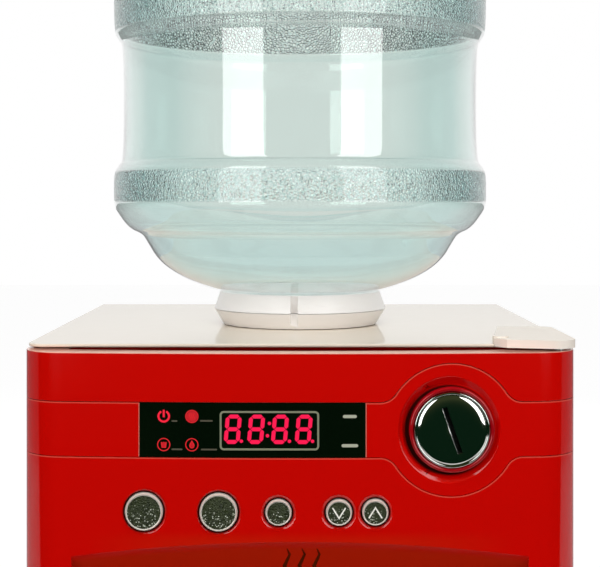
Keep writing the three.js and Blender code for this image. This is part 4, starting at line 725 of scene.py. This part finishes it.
pebbled = pebbledFinish()
rimFinish = Finish("rim_metal", (0.88, 0.83, 0.74), 0.22, Metallic=0.3)
arrowFinish = Finish("arrow_print", (0.88, 0.86, 0.78), 0.3)
for name, spec in buttons.items():
    radius, rise, depth = spec["radius"], buttonSizes["rise"], buttonSizes["depth"]
    rim = radius * buttonSizes["rimShare"] + buttonSizes["rim"]
    inner = radius - rim
    capLine = [(0, rise * 0.55), (inner, rise * 0.5), (inner, rise * 0.75), (inner + rim * 0.2, rise * 0.95),
               (inner + rim * 0.45, rise), (radius - 0.15 * mm, rise * 0.35), (radius, 0), (radius, -depth),
               (0, -depth)]
    cap = turned(name + "_cap", capLine, onFront(spec["x"], buttonSizes["z"]), buttonSizes["rounds"])
    cap.data.set_sharp_from_angle(angle=math.radians(35))
    dress(cap, name, "chrome", name, finish=rimFinish)
    faceLine = [(0, rise * 0.78), (inner * 0.5, rise * 0.74), (inner - 0.5 * mm, rise * 0.62),
                (inner - 0.1 * mm, rise * 0.52), (inner - 0.1 * mm, rise * 0.3), (0, rise * 0.3)]
    faceMiddle = onFront(spec["x"], buttonSizes["z"] - buttonSizes["faceDrop"])
    dress(turned(name + "_face", faceLine, faceMiddle, buttonSizes["rounds"]), name, "chrome", finish=pebbled)
    if name in ("button_down", "button_up"):
        way = 1 if name == "button_up" else -1
        reach, half = buttonSizes["arrowReach"], buttonSizes["arrowHeight"] / 2
        base, tip = buttonSizes["z"] - way * half, buttonSizes["z"] + way * half
        mark = [(spec["x"] - reach, base), (spec["x"], tip), (spec["x"] + reach, base)]
        arrow = ribbon(name + "_arrow", [mark], buttonSizes["stroke"], rise * 0.95, buttonSizes["arrowThick"])
        dress(arrow, name, "chrome", finish=arrowFinish)

print("lighting the display")
# The display's figures and dots, in millimetres
digitSizes = {
    "xs": (-40.32, -26.3, -12.0, 2.25),
    "z": 451.65,
    "height": 17.6,
    "width": 9.6,
    "stroke": 2.35,
    "gap": 0.22,
    "lean": 0.085,
    "dots": ((-18.3, 455.2), (-19.5, 447.8), (-35.2, 444.5), (-6.35, 444.5), (7.5, 444.5)),
    "dot": 1.05,
}
# Its other prints: strokes and thicknesses first, then places and sizes in millimetres
printSizes = {
    **lengths(lift=0.1, thick=0.08, glowLift=0.06, glowThick=0.03, edgeLift=0.05, edgeThick=0.1, edgeStroke=0.55,
              frameStroke=1.15, ringStroke=0.6, powerStroke=1.25),
    "frame": (-47.6, 10.9, 439.6, 462.0),
    "frameRound": 1.9,
    "edgeXs": (-96.85, 39.65),
    "edgeZs": (434.9, 467.1),
    "ring": 3.7,
    "smallBars": ((-75.4, 456.4, 3.6), (-56.2, 456.6, 7.6), (-73.9, 439.4, 6.6), (-54.6, 439.4, 9.8)),
    "smallHeight": 0.95,
    "largeBars": ((29.9, 459.3, 8.4), (29.9, 441.8, 10.0)),
    "largeHeight": 1.9,
}


def glowFinish(name, glow, strength, colour=(0.02, 0.002, 0.004), roughness=0.4):
    return Finish(name, colour, roughness, Emission_Color=(*glow, 1), Emission_Strength=strength)


def segments(middleX):
    # The seven bars of one leaning figure, each with pointed ends
    z, half, width = digitSizes["z"], digitSizes["height"] / 2, digitSizes["width"] / 2
    stroke, gap = digitSizes["stroke"] / 2, digitSizes["gap"]
    top, side = half - stroke, width - stroke
    ends = [((-side, up), (side, up)) for up in (top, 0, -top)]
    ends += [((way * side, up * top), (way * side, 0)) for way in (-1, 1) for up in (-1, 1)]
    shapes = []
    for low, high in ends:
        low, high = Vector(low), Vector(high)
        run = (high - low).normalized()
        across = Vector((-run.y, run.x)) * stroke
        low, high = low + run * gap, high - run * gap
        outline = [low, low + run * stroke + across, high - run * stroke + across, high,
                   high - run * stroke - across, low + run * stroke - across]
        shapes.append([((middleX + place.x + place.y * digitSizes["lean"]) * mm, (z + place.y) * mm)
                       for place in outline])
    return shapes


def plates(name, shapes, lift, thick):
    # Thin flat plates with the given outlines on the door's front
    verts, faces = [], []
    for outline in shapes:
        start, count = len(verts), len(outline)
        verts += [onFront(x, z, lift) for x, z in outline] + [onFront(x, z, lift - thick) for x, z in outline]
        faces.append(tuple(range(start, start + count)))
        faces.append(tuple(range(start + 2 * count - 1, start + count - 1, -1)))
        for index in range(count):
            after = (index + 1) % count
            faces.append((start + index, start + count + index, start + count + after, start + after))
    return faceOutward(meshObject(name, verts, faces, smooth=False))


def disc(x, z, radius, steps=20):
    return arc(x * mm, z * mm, radius * mm, 0, 360, steps)[:-1]


def roundedFrame(lowX, highX, lowZ, highZ, radius):
    lowX, highX, lowZ, highZ = lowX + radius, highX - radius, lowZ + radius, highZ - radius
    places = []
    for x, z, low in ((highX, highZ, 0), (lowX, highZ, 90), (lowX, lowZ, 180), (highX, lowZ, 270)):
        places += arc(x * mm, z * mm, radius * mm, low, low + 90, 6)
    return places + [places[0]]


def bars(places, height):
    # Plain bars with round ends
    shapes = []
    for x, z, width in places:
        outline = []
        for side, low in ((1, -90), (-1, 90)):
            middleX = x + side * (width - height) / 2
            outline += arc(middleX * mm, z * mm, height / 2 * mm, low, low + 180, 6)
        shapes.append(outline)
    return shapes


def printed(piece, finish):
    dress(piece, "door", "black_gloss", finish=finish)


def printedPlates(name, shapes, finish):
    printed(plates(name, shapes, printSizes["lift"], printSizes["thick"]), finish)


def printedLines(name, lines, stroke, finish):
    printed(ribbon(name, lines, printSizes[stroke], printSizes["lift"], printSizes["thick"]), finish)


def scaled(line, middle):
    return [((middle[0] + across) * mm, (middle[1] + up) * mm) for across, up in line]


lit = glowFinish("lit_segments", (1.0, 0.004, 0.075), 1.0)
# The caption bars and the frame are prints; their glow is painted light
dim = glowFinish("dim_marks", (0.1, 0.11, 0.07), 0.6)
bright = glowFinish("bright_marks", (0.4, 0.43, 0.33), 0.9)
frameFinish = glowFinish("frame_print", (0.16, 0.17, 0.11), 0.35, (0.16, 0.17, 0.11), 0.45)
figures = [shape for x in digitSizes["xs"] for shape in segments(x)]
figures += [disc(x, z, digitSizes["dot"]) for x, z in digitSizes["dots"]]
printedPlates("display_figures", figures, lit)
frameLine = roundedFrame(*printSizes["frame"], printSizes["frameRound"])
printedLines("display_frame", [frameLine], "frameStroke", frameFinish)
# Painted highlights: thin lighter strips along the window's side edges, where the belt's cut edge would catch the
# light
edgeHighlightFinish = mouldedFinish("window_edge", (0.62, 0.16, 0.12), *looks["red_plastic"][1:])
edges = [[(x * mm, z * mm) for z in printSizes["edgeZs"]] for x in printSizes["edgeXs"]]
windowEdgeHighlights = ribbon("window_edges", edges, *[printSizes[part] for part in ("edgeStroke", "edgeLift", "edgeThick")])
dress(windowEdgeHighlights, "door", "red_plastic", finish=edgeHighlightFinish)

power, heat, cup, drop = (-81.85, 459.2), (-64.9, 459.2), (-81.85, 442.2), (-64.9, 442.2)
strong = [arc(power[0] * mm, power[1] * mm, 3.2 * mm, 118, 422), scaled([(0, 3.9), (0, -0.6)], power)]
thin = [arc(x * mm, z * mm, printSizes["ring"] * mm, 0, 360) for x, z in (heat, cup, drop)]
for across in (-1.2, 0, 1.2):
    thin.append(scaled([(across + 0.35 * math.sin(step), step * 0.5 - 1.75) for step in range(8)], heat))
thin.append(scaled([(-1.5, 1.5), (-1.0, -1.7), (1.0, -1.7), (1.5, 1.5)], cup))
thin.append(scaled([(0, 2.2), (-1.0, 0.4), (-1.35, -0.6), (-0.9, -1.6), (0, -1.95), (0.9, -1.6), (1.35, -0.6),
                    (1.0, 0.4), (0, 2.2)], drop))
powerGlow = glowFinish("power_mark", (0.9, 0.008, 0.035), 1.0)
printedLines("display_power_sign", strong, "powerStroke", powerGlow)
ringGlow = glowFinish("ring_marks", (0.75, 0.01, 0.015), 0.9)
printedLines("display_signs", thin, "ringStroke", ringGlow)
soft = glowFinish("sign_glow", (0.62, 0.005, 0.012), 0.85)
glows = [disc(*heat, 3.3), disc(*cup, 1.6), disc(*drop, 1.5)]
printed(plates("display_sign_glow", glows, printSizes["glowLift"], printSizes["glowThick"]), soft)
printedPlates("display_small_bars", bars(printSizes["smallBars"], printSizes["smallHeight"]), dim)
printedPlates("display_large_bars", bars(printSizes["largeBars"], printSizes["largeHeight"]), bright)

print("driving the screws")
screwSizes = {
    **lengths(radius=3.4, rise=1.25, slot=0.8, reach=2.1, y=185),
    "facing": -90,
    "seed": 4,
    "rows": ((163, (24, 132, 256, 380, 488)), (60, (24, 488))),
}


def screwTree():
    # A low round head with a cross cut in it, set at each point and turned by chance
    grower = Grower("screw_heads", {"Radius": screwSizes["radius"], "Rise": screwSizes["rise"],
                                    "Slot": screwSizes["slot"], "Reach": screwSizes["reach"],
                                    "Facing": math.radians(screwSizes["facing"]), "Seed": screwSizes["seed"],
                                    "Material": finishes["steel"].material})
    radius, rise, slot, reach = [grower.given(label) for label in ("Radius", "Rise", "Slot", "Reach")]
    ball = grower.node("GeometryNodeMeshUVSphere", {}, {"Segments": 20, "Rings": 10, "Radius": radius})
    flat = grower.join(1.0, 1.0, rise / radius)
    head = grower.node("GeometryNodeTransform", {}, {"Geometry": ball, "Scale": flat})
    cross = grower.node("GeometryNodeMeshBoolean", {"operation": "DIFFERENCE", "solver": "EXACT"}, {0: head})
    for size in (grower.join(reach * 2, slot, rise), grower.join(slot, reach * 2, rise)):
        bar = grower.node("GeometryNodeMeshCube", {}, {"Size": size})
        lifted = grower.node("GeometryNodeTransform", {}, {"Geometry": bar, "Translation": grower.join(z=rise)})
        grower.tree.links.new(lifted.socket, cross.socket.node.inputs[1])
    heads = grower.node("GeometryNodeInstanceOnPoints", {},
                        {"Points": grower.given("Geometry"), "Instance": cross,
                         "Rotation": grower.join(x=grower.given("Facing"))})
    chance = grower.node("FunctionNodeRandomValue", {"data_type": "FLOAT"},
                         {2: 0.0, 3: math.pi, "Seed": grower.given("Seed")}, 1)
    grower.finish(grower.node("GeometryNodeRotateInstances", {},
                              {"Instances": heads, "Rotation": grower.join(z=chance)}))
    return grower


screwPlaces = []
for reachX, heights in screwSizes["rows"]:
    screwPlaces += [(side * reachX * mm, screwSizes["y"], z * mm) for side in (-1, 1) for z in heights]
screws = screwTree().grow(meshObject("rear_screws", screwPlaces, []))
screws.data.set_sharp_from_angle(angle=math.radians(40))
dress(screws, "cabinet", "steel")

print("turning the bottle")
# The upturned bottle, from its neck to its base; radii and heights in millimetres, and the shares are parts of the
# height between the seat and the top
bottleSizes = {
    "middleY": -6 * mm,
    "coverZ": 500 * mm,
    "wall": 1.2 * mm,
    "rounds": 180,
    "neck": 27.5,
    "body": 134,
    "recess": 127,
    "seat": 23.9,
    "height": 465,
    "bands": ((0.148, 0.192), (0.421, 0.54), (0.775, 0.943)),
    "recesses": ((0.215, 0.398), (0.567, 0.748)),
    "bandFade": 1.2 * mm,
    "bandRoughness": 0.05,
    "bandDulled": 0.55,
    "grainScale": 470,
    "grainSize": (0.02, 0.14),
    "sideFacing": (0.08, 0.5),
    "edgeFacing": (0.12, 0.3),
    "rimFacing": (0.5, 0.62),
    "edgeShare": 0.8,
    "tint": (0.835, 0.90, 0.875, 1),
    "tintSide": (0.69, 0.83, 0.81, 1),
    "tintLow": (0.72, 0.84, 0.83, 1),
    "tintLowZ": (555 * mm, 585 * mm),
    "grainLight": (0.99, 1.0, 0.99, 1),
    "grainDark": (0.6, 0.77, 0.75, 1),
    "grainLightSide": (0.52, 0.77, 0.75, 1),
    "grainDarkSide": (0.05, 0.2, 0.2, 1),
}


def clearBottleFinish(name, bands, **fixed):
    # Clear plastic, with small raised grains inside the bands
    sizes = bottleSizes
    finish = Finish(name, sizes["tint"][:3], 0.02, Transmission_Weight=1.0, IOR=1.38, **fixed)
    height = finish.split(finish.place)[2]
    mask, fade = 0.0 * height, sizes["bandFade"]
    for low, high in bands:
        mask = finish.step(height, low - fade, low) * finish.fall(height, high, high + fade) + mask
    cells = finish.cells("DISTANCE_TO_EDGE", sizes["grainScale"])
    pebble = finish.bump(finish.step(cells, 0.0, 0.3) * mask, 1.0, mm)
    grains = finish.fall(cells, *sizes["grainSize"])
    facing = finish.node("ShaderNodeLayerWeight", {}, {"Blend": 0.5}, "Facing")
    side = finish.step(facing, *sizes["sideFacing"])
    light = finish.mix(side, sizes["grainLight"], sizes["grainLightSide"])
    dark = finish.mix(side, sizes["grainDark"], sizes["grainDarkSide"])
    edge = finish.step(facing, *sizes["edgeFacing"]) * finish.fall(facing, *sizes["rimFacing"])
    body = finish.mix(edge * sizes["edgeShare"], sizes["tint"], sizes["tintSide"])
    body = finish.mix(finish.fall(height, *sizes["tintLowZ"]), body, sizes["tintLow"])
    finish.set("Base Color", finish.mix(mask, body, finish.mix(grains, light, dark)))
    finish.set("Normal", finish.bump(finish.noise(9, 1), 0.25, 4 * mm, pebble))
    finish.set("Roughness", 0.015 + mask * sizes["bandRoughness"])
    if "Coat_Weight" in fixed:
        finish.set("Coat Weight", 1 - mask * sizes["bandDulled"])
    return finish


def smoothLine(points, passes=3):
    # Corner cutting: each pass turns a corner into two softer ones, and the ends stay
    for turn in range(passes):
        cutPoints = [points[0]]
        for low, high in zip(points, points[1:]):
            cutPoints.append(tuple(a * 0.75 + b * 0.25 for a, b in zip(low, high)))
            cutPoints.append(tuple(a * 0.25 + b * 0.75 for a, b in zip(low, high)))
        points = cutPoints + [points[-1]]
    return points


def upTo(share):
    return bottleSizes["seat"] + (bottleSizes["height"] - bottleSizes["seat"]) * share


def bottleLine():
    # Radius and height above the cover of the outside, in millimetres
    body, recess, seat, neck = [bottleSizes[label] for label in ("body", "recess", "seat", "neck")]
    line = [(neck, -28), (neck, seat - 12), (52, seat)]
    for share, rise in ((0.36, 3.2), (0.55, 11), (0.7, 22), (0.783, 37), (0.81, 41.5), (0.9, 45.5), (0.985, 58)):
        line.append((neck + (body - neck) * share, seat + rise))
    for index, (low, high) in enumerate(bottleSizes["bands"]):
        line.append((body - 3, upTo(low) - 5) if index else (body - 0.4, seat + 61.5))
        line += [(body, upTo(low)), (body, upTo(high)), (body - 3, upTo(high) + 5)]
        if index < 2:
            line += [(recess, upTo(share)) for share in bottleSizes["recesses"][index]]
    for bodyShare, share in ((0.955, 0.975), (0.87, 0.994), (0.76, 1), (0.68, 0.99), (0.3, 0.96), (0, 0.955)):
        line.append((body * bodyShare, upTo(share)))
    return line


def bottleTree(points):
    # A grid whose rows are the outline's points and whose columns go round the axis
    grower = Grower("bottle_lathe", {"Rounds": bottleSizes["rounds"], "Points": points,
                                     "Middle Y": bottleSizes["middleY"], "Material": bottleFinish.material})
    rounds = grower.given("Rounds")
    perRow = rounds + 1
    grid = grower.node("GeometryNodeMeshGrid", {}, {"Vertices X": grower.given("Points"), "Vertices Y": perRow})
    index = grower.node("GeometryNodeInputIndex", {}, {})
    row = grower.maths("FLOOR", index / perRow)
    turn = (index - row * perRow) * (2 * math.pi) / rounds
    place = grower.node("GeometryNodeInputPosition", {}, {})
    sampled = grower.node("GeometryNodeSampleIndex", {"data_type": "FLOAT_VECTOR"},
                          {0: grower.given("Geometry"), 1: place, 2: row})
    radius, _, height = grower.split(sampled)
    spun = grower.join(radius * grower.maths("COSINE", turn),
                       radius * grower.maths("SINE", turn) + grower.given("Middle Y"), height)
    placed = grower.node("GeometryNodeSetPosition", {}, {"Geometry": grid, "Position": spun})
    grower.finish(grower.node("GeometryNodeMergeByDistance", {}, {"Geometry": placed, "Distance": 0.001 * mm}))
    return grower


outside = smoothLine([(radius * mm, rise * mm + bottleSizes["coverZ"]) for radius, rise in bottleLine()])
inside = []
for index, (radius, height) in enumerate(outside):
    before, after = outside[max(index - 1, 0)], outside[min(index + 1, len(outside) - 1)]
    run = Vector((after[0] - before[0], after[1] - before[1])).normalized() * bottleSizes["wall"]
    inside.append((max(radius - run.y, 0), height + run.x))
inside[-1] = (0, inside[-1][1])
bands = [[upTo(share) * mm + bottleSizes["coverZ"] for share in band] for band in bottleSizes["bands"]]
bottleFinish = clearBottleFinish("clear_bottle", bands, Coat_Weight=1.0, Coat_IOR=1.7, Coat_Roughness=0.02)
innerFinish = clearBottleFinish("clear_bottle_inside", [])
outline = outside + inside[::-1] + outside[:1]
bottle = meshObject("bottle_shell", [(radius, 0, height) for radius, height in outline], [])
faceOutward(bottleTree(len(outline)).grow(bottle))
bottle.data.shade_smooth()
dress(bottle, "bottle", "clear_bottle", "water_bottle", finish=bottleFinish)
bottle.visible_shadow = False
bottle.data.materials.append(innerFinish.material)
axis = Vector((0, bottleSizes["middleY"]))
for face in bottle.data.polygons:
    outward = face.center.xy - axis
    if face.normal.xy.dot(outward) < 0 or (outward.length < 20 * mm and face.normal.z < 0):
        face.material_index = 1

print("setting the studio")
studio = {
    "cameraPlace": (0, -1.023, 0.5873),
    "lens": 84,
    "shift": -0.1342,
    "sideReach": 1.75,
    "sideTurns": (-34.5, 37.5),
    "sideMiddle": 1.28,
    "roomLow": (0.003, 0.014, 0.006, 1),
    "roomHigh": (0.035, 0.045, 0.018, 1),
    "roomRise": (-0.15, 0.35),
    "wall": (0.95, 0.95, 0.95, 1),
    "wallReach": (0.0, 0.75),
    "soft": (0.16, 0.16, 0.16, 1),
    "floor": (0.9, 0.9, 0.9),
    "floorGlow": 1.3,
    "floorShare": 0.7,
    "floorFront": -0.45,
    "floorBack": 9,
    "floorSide": 6,
}
cameraData = bpy.data.cameras.new("camera")
cameraData.lens = studio["lens"]
cameraData.shift_y = studio["shift"]
camera = bpy.data.objects.new("camera", cameraData)
camera.location = studio["cameraPlace"]
camera.rotation_euler = (math.radians(90), 0, 0)
scene.collection.objects.link(camera)
scene.camera = camera

# Place, aim, width, height and power of each lamp; only the first two show in reflections
sideLamps = []
for turn in studio["sideTurns"]:
    reach, middle, turn = studio["sideReach"], studio["sideMiddle"], math.radians(turn)
    place = (reach * math.sin(turn), -reach * math.cos(turn), middle)
    sideLamps.append(("side_softbox", place, (0, 0, middle), 0.8, 1.8, 13.5))
lamps = sideLamps + [
    ("top_softbox", (0, -0.9, 2.15), (0, -0.05, 0.45), 1.6, 0.9, 19),
    ("side_fill", (-2.4, 0.1, 0.9), (0, 0, 0.4), 1.4, 1.4, 5),
    ("side_fill", (2.4, 0.1, 0.9), (0, 0, 0.4), 1.4, 1.4, 5),
    ("rear_fill", (0.5, 2.8, 1.3), (0, 0, 0.3), 2.0, 1.4, 7),
    ("front_fill", (0, -2.6, 0.8), (0, 0, 0.5), 2.4, 1.6, 2),
]
for name, place, aim, width, height, power in lamps:
    data = bpy.data.lights.new(name, "AREA")
    data.shape = "RECTANGLE"
    data.size, data.size_y, data.energy = width, height, power
    lamp = bpy.data.objects.new(name, data)
    lamp.location = place
    lamp.rotation_euler = (Vector(aim) - Vector(place)).to_track_quat("-Z", "Y").to_euler()
    lamp.visible_glossy = lamp.visible_transmission = name == "side_softbox"
    scene.collection.objects.link(lamp)

# The room is dark in reflections but for a bright wall behind, softer in bright gloss, and white to the camera
world = bpy.data.worlds.new("studio")
scene.world = world
world.use_nodes = True
net = Net(world.node_tree)
across, towards, upward = net.split(net.node("ShaderNodeTexCoord", {}, {}, "Generated"))
isThrough = net.ray("Is Transmission Ray")
room = net.mix(net.step(upward, *studio["roomRise"]), studio["roomLow"], studio["roomHigh"])
shown = net.mix(net.step(towards, *studio["wallReach"]), room, studio["wall"])
shown = net.mix(net.maths("MAXIMUM", isThrough, net.ray("Transmission Depth")), shown, studio["wall"])
shown = net.mix(net.maths("MAXIMUM", net.ray("Is Glossy Ray"), isThrough), studio["soft"], shown)
shown = net.mix(net.ray("Is Camera Ray"), shown, (1, 1, 1, 1))
net.feed(world.node_tree.nodes["Background"].inputs["Color"], shown)

# The floor glows for the camera and through the bottle, so that it fades into the white
paper = Finish("studio_floor", studio["floor"], 0.6)
glow = paper.node("ShaderNodeEmission", {}, {"Color": (1, 1, 1, 1), "Strength": studio["floorGlow"]})
seen = paper.maths("MAXIMUM", paper.ray("Is Camera Ray"), paper.ray("Is Transmission Ray"))
blend = paper.node("ShaderNodeMixShader", {}, {0: seen * studio["floorShare"]})
paper.feed(blend.socket.node.inputs[1], Value(paper, paper.shader.outputs[0]))
paper.feed(blend.socket.node.inputs[2], glow)
paper.feed(paper.output.inputs["Surface"], blend)
corners = [(-1, "floorFront"), (1, "floorFront"), (1, "floorBack"), (-1, "floorBack")]
floor = meshObject("floor", [(side * studio["floorSide"], studio[end], 0) for side, end in corners], [(0, 1, 2, 3)],
                   smooth=False)
floor.data.materials.append(paper.material)
scene.view_settings.view_transform = "Standard"
